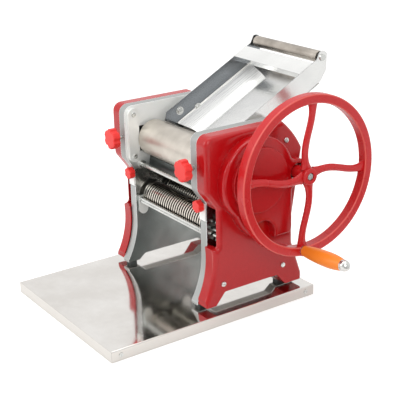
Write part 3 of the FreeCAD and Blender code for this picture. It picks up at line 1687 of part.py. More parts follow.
def main():
    board()
    foot_pads()
    for side in (-1, 1):
        frame(side)
        cover(side)
    cover_fixings()
    keepers()
    bushes()
    rods()
    idler_stud()
    guides()
    combs()
    clips()
    chute()
    bridge_plate()
    chute_fixings()
    end_roller()
    press_rollers()
    bearing_blocks()
    adjust_knobs()
    clamp_knobs()
    gears()
    cutter("front_cutter", size.cutter_y, size.ring_count)
    cutter("rear_cutter", size.rear_cutter_y, size.ring_count - 1)
    handwheel()
    wheel_shaft()
    handle()
    document.recompute()


def check():
    """Stop on a failed object or on a sub-part without a sound shape."""
    failed = [item.Label for item in document.Objects
              if "Invalid" in item.State or "Error" in item.State]
    failed += [label for label, item in parts.items()
               if item.Shape.isNull() or not item.Shape.isValid() or not item.Shape.Solids]
    if failed:
        raise RuntimeError(f"failed: {failed}")


def write():
    os.makedirs("parts", exist_ok=True)
    for label, item in parts.items():
        item.Shape.exportStep(f"parts/{label}.step")
    print(f"{len(parts)} sub-parts written")


main()
check()
write()
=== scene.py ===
# %% [markdown]
# # A hand-cranked pasta machine
#
# The object is a small kitchen machine: two ground steel press rollers and a pair of ring cutters between
# cast side frames, glossy red covers, a polished steel chute and a red cast handwheel, all on a board that
# is wrapped in stainless sheet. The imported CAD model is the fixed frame. This script gives each of its
# pieces the finish of the real one, and builds finer pieces where the plain solid stops short of what the
# eye sees.

import json
import math

import bmesh
import bpy
from mathutils import Matrix, Vector


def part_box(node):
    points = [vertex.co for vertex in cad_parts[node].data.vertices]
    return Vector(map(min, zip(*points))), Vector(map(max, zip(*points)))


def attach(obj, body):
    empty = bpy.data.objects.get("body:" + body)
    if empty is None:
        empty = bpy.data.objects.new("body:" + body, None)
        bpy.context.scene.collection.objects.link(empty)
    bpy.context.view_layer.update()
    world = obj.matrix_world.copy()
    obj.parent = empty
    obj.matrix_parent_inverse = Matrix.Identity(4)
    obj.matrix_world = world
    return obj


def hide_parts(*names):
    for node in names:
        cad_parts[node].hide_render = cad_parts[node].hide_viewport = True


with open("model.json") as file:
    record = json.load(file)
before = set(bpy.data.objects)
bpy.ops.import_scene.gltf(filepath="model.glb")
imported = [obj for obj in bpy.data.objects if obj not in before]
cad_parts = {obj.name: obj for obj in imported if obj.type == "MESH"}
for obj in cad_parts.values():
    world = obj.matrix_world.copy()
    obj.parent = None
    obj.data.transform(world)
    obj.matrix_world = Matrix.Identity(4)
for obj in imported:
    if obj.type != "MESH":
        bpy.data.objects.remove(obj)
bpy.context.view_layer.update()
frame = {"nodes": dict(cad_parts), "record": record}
nodes = frame["nodes"]

# %% [markdown]
# ## Helpers for the finishes
#
# Sizes are written in millimetres and multiplied by MM, because Blender works in metres. Colours are
# written as the hex values that a painter's chart would show, and one function turns them into the linear
# values that light is reckoned in. Another adds a shader node with its settings and links, so that a
# material reads as a short list of what it is made of.

# %% Units, colour and node helpers
MM = 0.001


def middle(node):
    """The middle of a CAD node's box."""
    low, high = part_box(node)
    return (low + high) / 2


def every(size_mm):
    """The scale of a pattern that repeats about once in this size."""
    return 1 / (size_mm * MM)


def linear(code):
    """The linear colour of an sRGB hex value."""
    channels = [int(code[start:start + 2], 16) / 255 for start in (1, 3, 5)]
    return [c / 12.92 if c <= 0.04045 else ((c + 0.055) / 1.055) ** 2.4 for c in channels] + [1.0]


def add(tree, kind, inputs=None, **settings):
    """A node with its settings; an input is a plain value or the output socket that feeds it."""
    node = tree.nodes.new(kind)
    for name, value in settings.items():
        setattr(node, name, value)
    for name, value in (inputs or {}).items():
        if isinstance(value, bpy.types.NodeSocket):
            tree.links.new(value, node.inputs[name])
        else:
            node.inputs[name].default_value = value
    return node


def blank_material(name):
    """A material with an empty node tree, ready for its own nodes."""
    made = bpy.data.materials.new(name)
    made.use_nodes = True
    made.node_tree.nodes.clear()
    return made, made.node_tree


print("helpers ready")

# %% [markdown]
# ## Sheet steels
#
# The board is wrapped in cold-rolled stainless sheet with a bright finish, and the chute is folded from the
# same stock, brushed a little softer. Rolling leaves hair-fine lines along the sheet, about 0.1 mm apart on
# the real one and drawn some ten times coarser here, so that the render can show them at all. Folding and
# gluing leave a slow waviness that bends every reflection, and wiping leaves faint cloudy smears where the
# gloss is a little softer. The smears are about 60 mm across and the waves 110 mm. Three tones in the
# sheet's colour are painted shade and reflection: a darker painted shade along folds and cut edges, a duller
# painted shade on the board's upright sides, and a darker painted reflection on the inward faces of the
# chute's walls. A face of the chute looks inwards where its normal and its place point opposite ways along
# X.


# %% Polished sheets
def sheet_steel(name, dark, light, low_rough, high_rough, lines_mm, wave_mm, arris_shade, side=None,
                inner_wall_shade=None):
    """Polished sheet with painted shade on its arrises and upright faces, and a darker painted reflection on
    its inward ones.
    """
    made, tree = blank_material(name)
    place = add(tree, "ShaderNodeTexCoord").outputs["Object"]
    facing = add(tree, "ShaderNodeNewGeometry").outputs["Normal"]
    along = add(tree, "ShaderNodeMapping", {"Vector": place,
                                            "Scale": [every(size) for size in lines_mm]}).outputs[0]
    lines = add(tree, "ShaderNodeTexNoise", {"Vector": along, "Scale": 1.0, "Detail": 2.0}).outputs["Fac"]
    smears = add(tree, "ShaderNodeTexNoise", {"Vector": place, "Scale": every(60), "Detail": 4.0,
                                              "Roughness": 0.6}).outputs["Fac"]
    waves = add(tree, "ShaderNodeTexNoise", {"Vector": place, "Scale": every(110),
                                             "Detail": 0.0}).outputs["Fac"]
    gloss = add(tree, "ShaderNodeMath", {0: lines, 1: smears}, operation="MULTIPLY").outputs[0]
    rough = add(tree, "ShaderNodeMapRange", {"Value": gloss, "From Min": 0.12, "From Max": 0.42,
                                             "To Min": low_rough, "To Max": high_rough}).outputs["Result"]
    share = add(tree, "ShaderNodeMapRange", {"Value": smears, "From Min": 0.35,
                                             "From Max": 0.65}).outputs["Result"]
    colour = add(tree, "ShaderNodeMix", {"Factor": share, 6: linear(dark), 7: linear(light)},
                 data_type="RGBA").outputs[2]
    # Painted shade: upright faces take a duller colour.
    if side:
        upward = add(tree, "ShaderNodeSeparateXYZ", {"Vector": facing}).outputs["Z"]
        upright = add(tree, "ShaderNodeMapRange", {"Value": upward, "From Min": 0.7,
                                                   "From Max": 0.3}).outputs["Result"]
        colour = add(tree, "ShaderNodeMix", {"Factor": upright, 6: colour, 7: linear(side)},
                     data_type="RGBA").outputs[2]
    # Painted reflection: the inward faces of the chute's walls take a darker colour.
    if inner_wall_shade:
        outward = add(tree, "ShaderNodeVectorMath", {0: facing, 1: place}, operation="MULTIPLY").outputs[0]
        outward = add(tree, "ShaderNodeSeparateXYZ", {"Vector": outward}).outputs["X"]
        inside = add(tree, "ShaderNodeMapRange", {"Value": outward, "From Min": -30 * MM,
                                                  "From Max": -60 * MM}).outputs["Result"]
        colour = add(tree, "ShaderNodeMix", {"Factor": inside, 6: colour, 7: linear(inner_wall_shade)},
                     data_type="RGBA").outputs[2]
    # Painted shade: the arrises, found from the rounded normal, take a darker colour.
    rounded = add(tree, "ShaderNodeBevel", {"Radius": 0.6 * MM}, samples=6).outputs[0]
    parallel = add(tree, "ShaderNodeVectorMath", {0: rounded, 1: facing},
                   operation="DOT_PRODUCT").outputs["Value"]
    arris = add(tree, "ShaderNodeMapRange", {"Value": parallel, "From Min": 0.99,
                                             "From Max": 0.9}).outputs["Result"]
    colour = add(tree, "ShaderNodeMix", {"Factor": arris, 6: colour, 7: linear(arris_shade)},
                 data_type="RGBA").outputs[2]
    bowed = add(tree, "ShaderNodeBump", {"Height": waves, "Distance": wave_mm * MM}).outputs["Normal"]
    normal = add(tree, "ShaderNodeBump", {"Height": lines, "Distance": 0.002 * MM,
                                          "Normal": bowed}).outputs["Normal"]
    steel = add(tree, "ShaderNodeBsdfPrincipled", {"Base Color": colour, "Metallic": 1.0,
                                                   "Roughness": rough, "Normal": normal})
    add(tree, "ShaderNodeOutputMaterial", {"Surface": steel.outputs[0]})
    return made


board_sheet = sheet_steel("polished_stainless_sheet", "#DCD8D3", "#E8E5E1", 0.05, 0.14, (1.0, 90, 1.0), 0.12,
                          arris_shade="#8E8A85", side="#D2CEC9")
chute_sheet = sheet_steel("mirror_stainless_sheet", "#DCDCDB", "#EAEAE8", 0.16, 0.3, (60, 1.0, 1.0), 0.06,
                          arris_shade="#77777A", inner_wall_shade="#868A8E")
bridge_sheet = sheet_steel("bright_bridge_sheet", "#F0F0EE", "#F8F8F6", 0.14, 0.26, (60, 1.0, 1.0), 0.04,
                           arris_shade="#8A8A8A")
print("sheet steels:", board_sheet.name, chute_sheet.name, bridge_sheet.name)

# %% [markdown]
# ## Turned, plated and cast metals
#
# The press rollers and the cutters are ground on a lathe, so their fine marks run round them: along X the
# marks are narrow, round the roller they are long. Screws and rods are bright zinc plate. Keeper bars,
# clips and brackets have a paler satin nickel plate that scatters part of the light, and so does the strip
# in the chute. Guide sheets are plain steel that stays darker, gears are cut steel with a film of grease
# that pools unevenly, and the bushes are sintered bronze. One recipe serves them all: marks of a real size
# set the gloss and the bump, and a cloud about 25 mm across shifts the colour.


# %% Metals
def metal(name, dark, light, low_rough, high_rough, marks_mm, depth_mm, detail=2.0, edge_mm=0.3, bare=1.0):
    """A metal with marks of a size along X, Y and Z; bare is how little its skin scatters light."""
    made, tree = blank_material(name)
    place = add(tree, "ShaderNodeTexCoord").outputs["Object"]
    scaled = add(tree, "ShaderNodeMapping", {"Vector": place,
                                             "Scale": [every(size) for size in marks_mm]}).outputs[0]
    marks = add(tree, "ShaderNodeTexNoise", {"Vector": scaled, "Scale": 1.0,
                                             "Detail": detail}).outputs["Fac"]
    cloud = add(tree, "ShaderNodeTexNoise", {"Vector": place, "Scale": every(25),
                                             "Detail": 2.0}).outputs["Fac"]
    rough = add(tree, "ShaderNodeMapRange", {"Value": marks, "From Min": 0.3, "From Max": 0.7,
                                             "To Min": low_rough, "To Max": high_rough}).outputs["Result"]
    share = add(tree, "ShaderNodeMapRange", {"Value": cloud, "From Min": 0.3,
                                             "From Max": 0.7}).outputs["Result"]
    colour = add(tree, "ShaderNodeMix", {"Factor": share, 6: linear(dark), 7: linear(light)},
                 data_type="RGBA").outputs[2]
    softened = add(tree, "ShaderNodeBevel", {"Radius": edge_mm * MM}, samples=4).outputs[0]
    normal = add(tree, "ShaderNodeBump", {"Height": marks, "Distance": depth_mm * MM,
                                          "Normal": softened}).outputs["Normal"]
    shader = add(tree, "ShaderNodeBsdfPrincipled", {"Base Color": colour, "Metallic": bare,
                                                    "Roughness": rough, "Normal": normal})
    add(tree, "ShaderNodeOutputMaterial", {"Surface": shader.outputs[0]})
    return made


ground_steel = metal("ground_roller_steel", "#BDB6AC", "#D2CBC1", 0.3, 0.44, (0.7, 60, 60), 0.004)
free_roller_steel = metal("brushed_free_roller_steel", "#968E85", "#C2BAB0", 0.26, 0.42, (60, 2.5, 2.5),
                          0.004)
zinc_plate = metal("bright_zinc_plate", "#C6C7C4", "#D8D9D6", 0.2, 0.32, (1.5, 1.5, 1.5), 0.002)
keeper_plate = metal("satin_nickel_plate", "#ECEDEA", "#F4F5F2", 0.34, 0.46, (0.8, 8, 8), 0.002, bare=0.45)
strip_sheet = metal("satin_guide_strip", "#F7F7F5", "#FCFCFA", 0.26, 0.3, (1, 60, 60), 0.001, bare=0.35)
dark_sheet = metal("plain_steel_sheet", "#565A59", "#6C706E", 0.3, 0.42, (40, 0.8, 0.8), 0.003)
gear_metal = metal("greased_gear_steel", "#C9C8C1", "#F0EFE9", 0.2, 0.42, (0.5, 0.5, 0.5), 0.01)
bush_bronze = metal("sintered_bronze", "#8F6E3E", "#B08A52", 0.35, 0.5, (0.6, 0.6, 0.6), 0.01)
print("metals ready")

# %% [markdown]
# ## The side frames
#
# The frames are die castings. Their colour holds painted light and shade: round the rollers they are
# painted pale as painted light, and made rougher and less metallic so that they scatter part of the light,
# and below that a darker polished grey is painted as shade. The narrow faces all round are a mid grey
# painted shade and the arrises a white painted highlight. The height in the piece's own coordinates splits
# pale from dark, with a ragged edge, the normal tells the narrow faces, and the step from the true to the
# rounded normal finds the arrises.


# %% Frame casting
def cast_frame(name):
    """A casting with painted light above and painted shade below, mid grey painted shade on its narrow faces
    and a white painted highlight on its arrises.
    """
    made, tree = blank_material(name)
    place = add(tree, "ShaderNodeTexCoord").outputs["Object"]
    pebbles = add(tree, "ShaderNodeTexNoise", {"Vector": place, "Scale": every(1.2),
                                               "Detail": 2.0}).outputs["Fac"]
    cloud = add(tree, "ShaderNodeTexNoise", {"Vector": place, "Scale": every(30),
                                             "Detail": 3.0}).outputs["Fac"]
    height = add(tree, "ShaderNodeSeparateXYZ", {"Vector": place}).outputs["Z"]
    ragged = add(tree, "ShaderNodeMath", {0: cloud, 1: 12 * MM, 2: height},
                 operation="MULTIPLY_ADD").outputs[0]
    # Painted light and shade: pale above the ragged height, darker grey below it.
    skin = add(tree, "ShaderNodeMapRange", {"Value": ragged, "From Min": 160 * MM,
                                            "From Max": 178 * MM}).outputs["Result"]
    share = add(tree, "ShaderNodeMapRange", {"Value": cloud, "From Min": 0.3,
                                             "From Max": 0.7}).outputs["Result"]
    pale = add(tree, "ShaderNodeMix", {"Factor": share, 6: linear("#EDEFEC"), 7: linear("#F6F7F5")},
               data_type="RGBA").outputs[2]
    grey = add(tree, "ShaderNodeMix", {"Factor": share, 6: linear("#8E9392"), 7: linear("#AAAFAE")},
               data_type="RGBA").outputs[2]
    body = add(tree, "ShaderNodeMix", {"Factor": skin, 6: grey, 7: pale}, data_type="RGBA").outputs[2]
    flat = add(tree, "ShaderNodeNewGeometry").outputs["Normal"]
    sideways = add(tree, "ShaderNodeSeparateXYZ", {"Vector": flat}).outputs["X"]
    narrow = add(tree, "ShaderNodeMath", {0: sideways}, operation="ABSOLUTE").outputs[0]
    narrow = add(tree, "ShaderNodeMapRange", {"Value": narrow, "From Min": 0.5,
                                              "From Max": 0.2}).outputs["Result"]
    # Painted shade: the narrow faces take a mid grey.
    edge = add(tree, "ShaderNodeMix", {"Factor": skin, 6: linear("#AEB0AE"), 7: linear("#A2A4A2")},
               data_type="RGBA").outputs[2]
    body = add(tree, "ShaderNodeMix", {"Factor": narrow, 6: body, 7: edge}, data_type="RGBA").outputs[2]
    rounded = add(tree, "ShaderNodeBevel", {"Radius": 1.2 * MM}, samples=6).outputs[0]
    facing = add(tree, "ShaderNodeVectorMath", {0: rounded, 1: flat},
                 operation="DOT_PRODUCT").outputs["Value"]
    arris = add(tree, "ShaderNodeMapRange", {"Value": facing, "From Min": 0.995,
                                             "From Max": 0.94}).outputs["Result"]
    # Painted highlight: the arrises take white.
    colour = add(tree, "ShaderNodeMix", {"Factor": arris, 6: body, 7: linear("#FFFFFF")},
                 data_type="RGBA").outputs[2]
    rough = add(tree, "ShaderNodeMapRange", {"Value": skin, "To Min": 0.24,
                                             "To Max": 0.44}).outputs["Result"]
    less_metallic = add(tree, "ShaderNodeMath", {0: skin, 1: narrow}, operation="MAXIMUM").outputs[0]
    bare = add(tree, "ShaderNodeMapRange", {"Value": less_metallic, "To Min": 1.0,
                                            "To Max": 0.35}).outputs["Result"]
    normal = add(tree, "ShaderNodeBump", {"Height": pebbles, "Distance": 0.004 * MM,
                                          "Normal": rounded}).outputs["Normal"]
    shader = add(tree, "ShaderNodeBsdfPrincipled", {"Base Color": colour, "Metallic": bare,
                                                    "Roughness": rough, "Normal": normal})
    add(tree, "ShaderNodeOutputMaterial", {"Surface": shader.outputs[0]})
    return made


frame_casting = cast_frame("satin_plated_casting")
print("frame casting ready")

# %% [markdown]
# ## The cutter rolls
#
# Each cutter is a shaft with rings ground bright at their rims. The grooves between them are painted near
# black as painted shade, so from any side the roll reads as bright rings with black gaps. The distance from
# the roll's own axis tells the rim from the groove: the axis is the middle of the CAD piece. Only faces that
# look away from the axis are bright, not the rings' flanks, which take the painted shade too, and the plain
# shoulders at both ends are half bright.


# %% Cutter roll steel
def cutter_steel(name, node):
    """Steel that is bright on the rims of this cutter roll, with painted shade in its grooves and on its
    flanks.
    """
    made, tree = blank_material(name)
    axis = middle(node)
    place = add(tree, "ShaderNodeTexCoord").outputs["Object"]
    arm = add(tree, "ShaderNodeVectorMath", {0: place, 1: axis}, operation="SUBTRACT").outputs[0]
    across = add(tree, "ShaderNodeVectorMath", {0: arm, 1: (0, 1, 1)}, operation="MULTIPLY").outputs[0]
    radius = add(tree, "ShaderNodeVectorMath", {0: across}, operation="LENGTH").outputs["Value"]
    crest = add(tree, "ShaderNodeMapRange", {"Value": radius, "From Min": 16.5 * MM,
                                             "From Max": 17.8 * MM}).outputs["Result"]
    facing = add(tree, "ShaderNodeNewGeometry").outputs["Normal"]
    round_it = add(tree, "ShaderNodeVectorMath", {0: facing, 1: (0, 1, 1)}, operation="MULTIPLY").outputs[0]
    round_it = add(tree, "ShaderNodeVectorMath", {0: round_it}, operation="LENGTH").outputs["Value"]
    rim = add(tree, "ShaderNodeMath", {0: crest, 1: round_it}, operation="MULTIPLY").outputs[0]
    out = add(tree, "ShaderNodeSeparateXYZ", {"Vector": place}).outputs["X"]
    out = add(tree, "ShaderNodeMath", {0: out}, operation="ABSOLUTE").outputs[0]
    shoulder = add(tree, "ShaderNodeMapRange", {"Value": out, "From Min": 70.5 * MM, "From Max": 71.5 * MM,
                                                "To Max": 0.6}).outputs["Result"]
    rim = add(tree, "ShaderNodeMath", {0: rim, 1: shoulder}, operation="MAXIMUM").outputs[0]
    marks = add(tree, "ShaderNodeTexNoise", {"Vector": place, "Scale": every(3),
                                             "Detail": 3.0}).outputs["Fac"]
    bright = add(tree, "ShaderNodeMix", {"Factor": marks, 6: linear("#D9CDBF"), 7: linear("#F2EBE2")},
                 data_type="RGBA").outputs[2]
    # Painted shade: the grooves and the rings' flanks are near black.
    colour = add(tree, "ShaderNodeMix", {"Factor": rim, 6: linear("#26231F"), 7: bright},
                 data_type="RGBA").outputs[2]
    rough = add(tree, "ShaderNodeMapRange", {"Value": rim, "To Min": 0.55,
                                             "To Max": 0.26}).outputs["Result"]
    normal = add(tree, "ShaderNodeBump", {"Height": marks, "Distance": 0.004 * MM}).outputs["Normal"]
    shader = add(tree, "ShaderNodeBsdfPrincipled", {"Base Color": colour, "Metallic": 1.0,
                                                    "Roughness": rough, "Normal": normal})
    add(tree, "ShaderNodeOutputMaterial", {"Surface": shader.outputs[0]})
    return made


front_cutter_steel = cutter_steel("ground_front_cutter_steel", "front_cutter")
rear_cutter_steel = cutter_steel("ground_rear_cutter_steel", "rear_cutter")
print("cutter steels ready")

# %% [markdown]
# ## Paint, plastic, rubber and board
#
# The covers are pressed steel with a thick gloss enamel: its low roughness gives the sharp highlights on
# the rounded edges, and a shallow orange peel about 4 mm across keeps it from looking like glass. The
# handwheel is cast iron under a like enamel, so the sand's grain shows through and bends the highlights.
# Knobs and grip are moulded ABS: bright all through, with a fine spark-eroded skin. The pads are grey
# moulded rubber, and the board under its sheet is raw fibreboard with a fleck.


# %% Coated and moulded finishes
def coated(name, dark, light, low_rough, high_rough, grain_mm, depth_mm, detail=1.0, edge_mm=0.3):
    """Paint, plastic or rubber with a grain of a size in mm over a slow change of gloss."""
    made, tree = blank_material(name)
    place = add(tree, "ShaderNodeTexCoord").outputs["Object"]
    skin = add(tree, "ShaderNodeTexNoise", {"Vector": place, "Scale": every(grain_mm),
                                            "Detail": detail}).outputs["Fac"]
    cloud = add(tree, "ShaderNodeTexNoise", {"Vector": place, "Scale": every(45),
                                             "Detail": 2.0}).outputs["Fac"]
    rough = add(tree, "ShaderNodeMapRange", {"Value": cloud, "From Min": 0.3, "From Max": 0.7,
                                             "To Min": low_rough, "To Max": high_rough}).outputs["Result"]
    share = add(tree, "ShaderNodeMapRange", {"Value": skin, "From Min": 0.3,
                                             "From Max": 0.7}).outputs["Result"]
    colour = add(tree, "ShaderNodeMix", {"Factor": share, 6: linear(dark), 7: linear(light)},
                 data_type="RGBA").outputs[2]
    softened = add(tree, "ShaderNodeBevel", {"Radius": edge_mm * MM}, samples=4).outputs[0]
    normal = add(tree, "ShaderNodeBump", {"Height": skin, "Distance": depth_mm * MM,
                                          "Normal": softened}).outputs["Normal"]
    shader = add(tree, "ShaderNodeBsdfPrincipled", {"Base Color": colour, "Roughness": rough, "IOR": 1.5,
                                                    "Normal": normal})
    add(tree, "ShaderNodeOutputMaterial", {"Surface": shader.outputs[0]})
    return made


cover_enamel = coated("gloss_red_enamel", "#B0060D", "#B60910", 0.2, 0.26, 4, 0.0015, edge_mm=0.5)
wheel_enamel = coated("red_enamel_on_cast_iron", "#BE1116", "#C81D21", 0.2, 0.3, 1.4, 0.012, detail=3.0,
                      edge_mm=0.5)
knob_plastic = coated("red_moulded_abs", "#E72823", "#ED312C", 0.34, 0.44, 0.6, 0.006)
grip_plastic = coated("orange_moulded_abs", "#F5821F", "#FA8E2B", 0.36, 0.46, 0.7, 0.008)
foot_rubber = coated("grey_moulded_rubber", "#3E4140", "#4A4D4C", 0.65, 0.8, 0.8, 0.02)
raw_board = coated("raw_fibreboard", "#94744B", "#B08F63", 0.75, 0.9, 1.5, 0.05, detail=4.0)
print("paints and plastics ready")

# %% [markdown]
# Bright lines run along the corners of the wheel's rim. They are a painted highlight: a lighter enamel
# colour on the corners. The rim's section is a rectangle, 14.5 mm along X and 12 mm across, about a circle
# of 100 mm radius round the wheel's shaft. Its corners are the places that are far from the section's
# middle both along X and across. The last mask keeps the hub and the spokes out of it.

# %% Painted highlight on the rim's corners
RIM_X = 143.5 * MM
RIM_RADIUS = 100 * MM

tree = wheel_enamel.node_tree
paint = next(node for node in tree.nodes if node.type == "BSDF_PRINCIPLED").inputs["Base Color"]
place = add(tree, "ShaderNodeTexCoord").outputs["Object"]
shaft = middle("wheel_shaft")
centre = (RIM_X, shaft.y, shaft.z)
arm = add(tree, "ShaderNodeVectorMath", {0: place, 1: centre}, operation="SUBTRACT").outputs[0]
across = add(tree, "ShaderNodeSeparateXYZ", {"Vector": arm}).outputs["X"]
across = add(tree, "ShaderNodeMath", {0: across}, operation="ABSOLUTE").outputs[0]
by_face = add(tree, "ShaderNodeMapRange", {"Value": across, "From Min": 5.2 * MM,
                                           "From Max": 6.4 * MM}).outputs["Result"]
spoke = add(tree, "ShaderNodeVectorMath", {0: arm, 1: (0, 1, 1)}, operation="MULTIPLY").outputs[0]
radius = add(tree, "ShaderNodeVectorMath", {0: spoke}, operation="LENGTH").outputs["Value"]
off = add(tree, "ShaderNodeMath", {0: radius, 1: RIM_RADIUS}, operation="SUBTRACT").outputs[0]
off = add(tree, "ShaderNodeMath", {0: off}, operation="ABSOLUTE").outputs[0]
by_side = add(tree, "ShaderNodeMapRange", {"Value": off, "From Min": 4 * MM,
                                           "From Max": 5.2 * MM}).outputs["Result"]
on_rim = add(tree, "ShaderNodeMath", {0: off, 1: 6.5 * MM}, operation="LESS_THAN").outputs[0]
corner = add(tree, "ShaderNodeMath", {0: by_face, 1: by_side}, operation="MULTIPLY").outputs[0]
corner = add(tree, "ShaderNodeMath", {0: corner, 1: on_rim}, operation="MULTIPLY").outputs[0]
plain_paint = paint.links[0].from_socket
# Painted highlight: the rim's corners take a lighter enamel.
rim_highlight = add(tree, "ShaderNodeMix", {"Factor": corner, 6: plain_paint, 7: linear("#DC5A52")},
                data_type="RGBA").outputs[2]
tree.links.new(rim_highlight, paint)
print("rim corners lightened")

# %% [markdown]
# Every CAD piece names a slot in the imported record, so one table from slot to finish dresses them all. A
# few pieces of a slot get a finish of their own, such as the chute, which is greyer than the board, and the
# cutters, which need their own axis.

# %% Dress the CAD pieces
by_slot = {
    "sheet_steel": board_sheet,
    "board_core": raw_board,
    "bright_steel": zinc_plate,
    "frame_metal": frame_casting,
    "red_paint": cover_enamel,
    "red_plastic": knob_plastic,
    "orange_plastic": grip_plastic,
    "rubber": foot_rubber,
    "roller_steel": ground_steel,
    "dark_steel": dark_sheet,
    "gear_steel": gear_metal,
    "bush_brass": bush_bronze,
}
by_node = {
    "chute": chute_sheet,
    "bridge_plate": bridge_sheet,
    "front_cutter": front_cutter_steel,
    "rear_cutter": rear_cutter_steel,
    "end_roller": free_roller_steel,
    "handwheel": wheel_enamel,
    "wheel_sleeve": wheel_enamel,
    "keeper_left": keeper_plate,
    "keeper_right": keeper_plate,
    "clip_plates": keeper_plate,
    "comb_brackets": keeper_plate,
}
for part in frame["record"]["subparts"]:
    finish = by_node.get(part["node"], by_slot[part["material_slot"]])
    materials = nodes[part["node"]].data.materials
    materials.clear()
    materials.append(finish)

# %% [markdown]
# ## Screws with crossed recesses
#
# The screws of the covers, the keeper bars, the chute and the board have pan heads with crossed recesses.
# One screw is modelled for each size: a cylinder for the head, its upper rim bevelled into a dome, its lower
# face inset or widened to a washer and extruded into the shank, and the recess cut by a Boolean with two
# crossed bars. Then it is copied to each hole with a mesh of its own, turned a little so that the crosses
# don't line up, as on a machine that was put together by hand.


# %% Edit-mode helpers
def choose(kind, test):
    """Select the faces or edges of the mesh in edit mode that pass the test."""
    bpy.ops.mesh.select_mode(type=kind)
    bpy.ops.mesh.select_all(action="DESELECT")
    shape = bmesh.from_edit_mesh(bpy.context.edit_object.data)
    for item in shape.faces if kind == "FACE" else shape.edges:
        item.select_set(test(item))
    bmesh.update_edit_mesh(bpy.context.edit_object.data)


def apply_modifier(piece, kind, **settings):
    """Add a modifier to the active piece, set it and apply it."""
    modifier = piece.modifiers.new(kind.title(), kind)
    for name, value in settings.items():
        setattr(modifier, name, value)
    bpy.context.view_layer.objects.active = piece
    bpy.ops.object.modifier_apply(modifier=modifier.name)


def join_as(name, objects, body, finish):
    """Join the objects into one named piece that rides on a body."""
    bpy.ops.object.select_all(action="DESELECT")
    for item in objects:
        item.select_set(True)
    bpy.context.view_layer.objects.active = objects[0]
    bpy.ops.object.join()
    piece = bpy.context.object
    piece.name = name
    piece.data.name = name
    piece.data.materials.clear()
    piece.data.materials.append(finish)
    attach(piece, body)
    return piece


print("edit helpers ready")

# %% One screw
SMOOTH_ANGLE = math.radians(35)
WASHER_THICKNESS = 0.5
UNDERCUT = 0.02


def pan_head_screw(head_mm, height_mm, shank_mm, reach_mm, washer_mm=0):
    """A screw along Z: its head stands on the origin and its shank goes down."""
    bpy.ops.object.select_all(action="DESELECT")
    bpy.ops.mesh.primitive_cylinder_add(vertices=36, radius=head_mm * MM, depth=height_mm * MM,
                                        location=(0, 0, height_mm * MM / 2))
    screw = bpy.context.object
    bpy.ops.object.transform_apply(location=True, rotation=True, scale=True)
    bpy.ops.object.mode_set(mode="EDIT")
    choose("EDGE", lambda edge: all(vertex.co.z > 0.9 * height_mm * MM for vertex in edge.verts))
    bpy.ops.mesh.bevel(offset=0.55 * height_mm * MM, segments=4, affect="EDGES")
    choose("FACE", lambda face: face.normal.z < -0.9)
    if washer_mm:
        bpy.ops.mesh.extrude_region_move(TRANSFORM_OT_translate={"value": (0, 0, 0)})
        bpy.ops.transform.resize(value=(washer_mm / head_mm, washer_mm / head_mm, 1))
        bpy.ops.mesh.extrude_region_move(TRANSFORM_OT_translate={"value": (0, 0, -WASHER_THICKNESS * MM)})
    else:
        bpy.ops.mesh.inset(thickness=UNDERCUT * MM)
    ratio = shank_mm / (washer_mm or head_mm - UNDERCUT)
    bpy.ops.mesh.extrude_region_move(TRANSFORM_OT_translate={"value": (0, 0, 0)})
    bpy.ops.transform.resize(value=(ratio, ratio, 1))
    bpy.ops.mesh.extrude_region_move(TRANSFORM_OT_translate={"value": (0, 0, -reach_mm * MM)})
    bpy.ops.mesh.select_all(action="SELECT")
    bpy.ops.mesh.normals_make_consistent(inside=False)
    bpy.ops.object.mode_set(mode="OBJECT")
    # Each bar is centred on the head's top, so the recess goes down by a little more than half its height.
    for turn_deg in (0, 90):
        bpy.ops.object.select_all(action="DESELECT")
        bpy.ops.mesh.primitive_cube_add(size=1, location=(0, 0, height_mm * MM),
                                        rotation=(0, 0, math.radians(turn_deg)))
        bar = bpy.context.object
        bpy.ops.transform.resize(value=(1.25 * head_mm * MM, 0.3 * head_mm * MM, 1.1 * height_mm * MM))
        apply_modifier(screw, "BOOLEAN", operation="DIFFERENCE", object=bar, solver="EXACT")
        bpy.data.objects.remove(bar)
    bpy.ops.object.select_all(action="DESELECT")
    screw.select_set(True)
    bpy.context.view_layer.objects.active = screw
    bpy.ops.object.shade_smooth_by_angle(angle=SMOOTH_ANGLE)
    return screw


FIRST_TURN_DEG = 17
TURN_STEP_DEG = 31


def drive_in(screw, spots, name, node):
    """Copy the screw to each (place in mm, direction its head faces) and replace the CAD node."""
    copies = []
    for index, (spot, outward) in enumerate(spots):
        copy = screw.copy()
        copy.data = screw.data.copy()
        bpy.context.scene.collection.objects.link(copy)
        aim = Vector(outward).to_track_quat("Z", "Y").to_matrix().to_4x4()
        twist = Matrix.Rotation(math.radians(FIRST_TURN_DEG + TURN_STEP_DEG * index), 4, "Z")
        copy.data.transform(Matrix.Translation(Vector(spot) * MM) @ aim @ twist)
        copies.append(copy)
    bpy.data.objects.remove(screw)
    piece = join_as(name, copies, "stand", zinc_plate)
    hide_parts(node)
    print(name, len(spots), "screws,", len(piece.data.polygons), "faces")


# %% [markdown]
# The screws stand where the holes of the frames and covers are: three in each cover, two in each keeper
# bar, two in each wall of the chute over broad washers, and four in the board's ends. Each face that
# carries screws has its distance from the middle of the machine, and each hole its Y and Z, or on the chute
# its place along the sloping top edge and its depth below it. All of them are in millimetres.

# %% Screws in their holes
CHUTE_TILT = math.radians(27.6)
CHUTE_TOP = (91.5, 248.6)
COVER_FACE = 112
COVER_HOLES = ((118.4, 222.3), (114.1, 50.8), (17.4, 49.9))
KEEPER_FACE = 74.5
KEEPER_HOLES = ((6, 176), (6, 235))
CHUTE_FACE = 70.4
CHUTE_HOLES = ((-20.5, 11.6), (6.6, 25.9))
BOARD_FACE = 125
BOARD_HOLES = ((-144, 7.5), (144, 7.5))


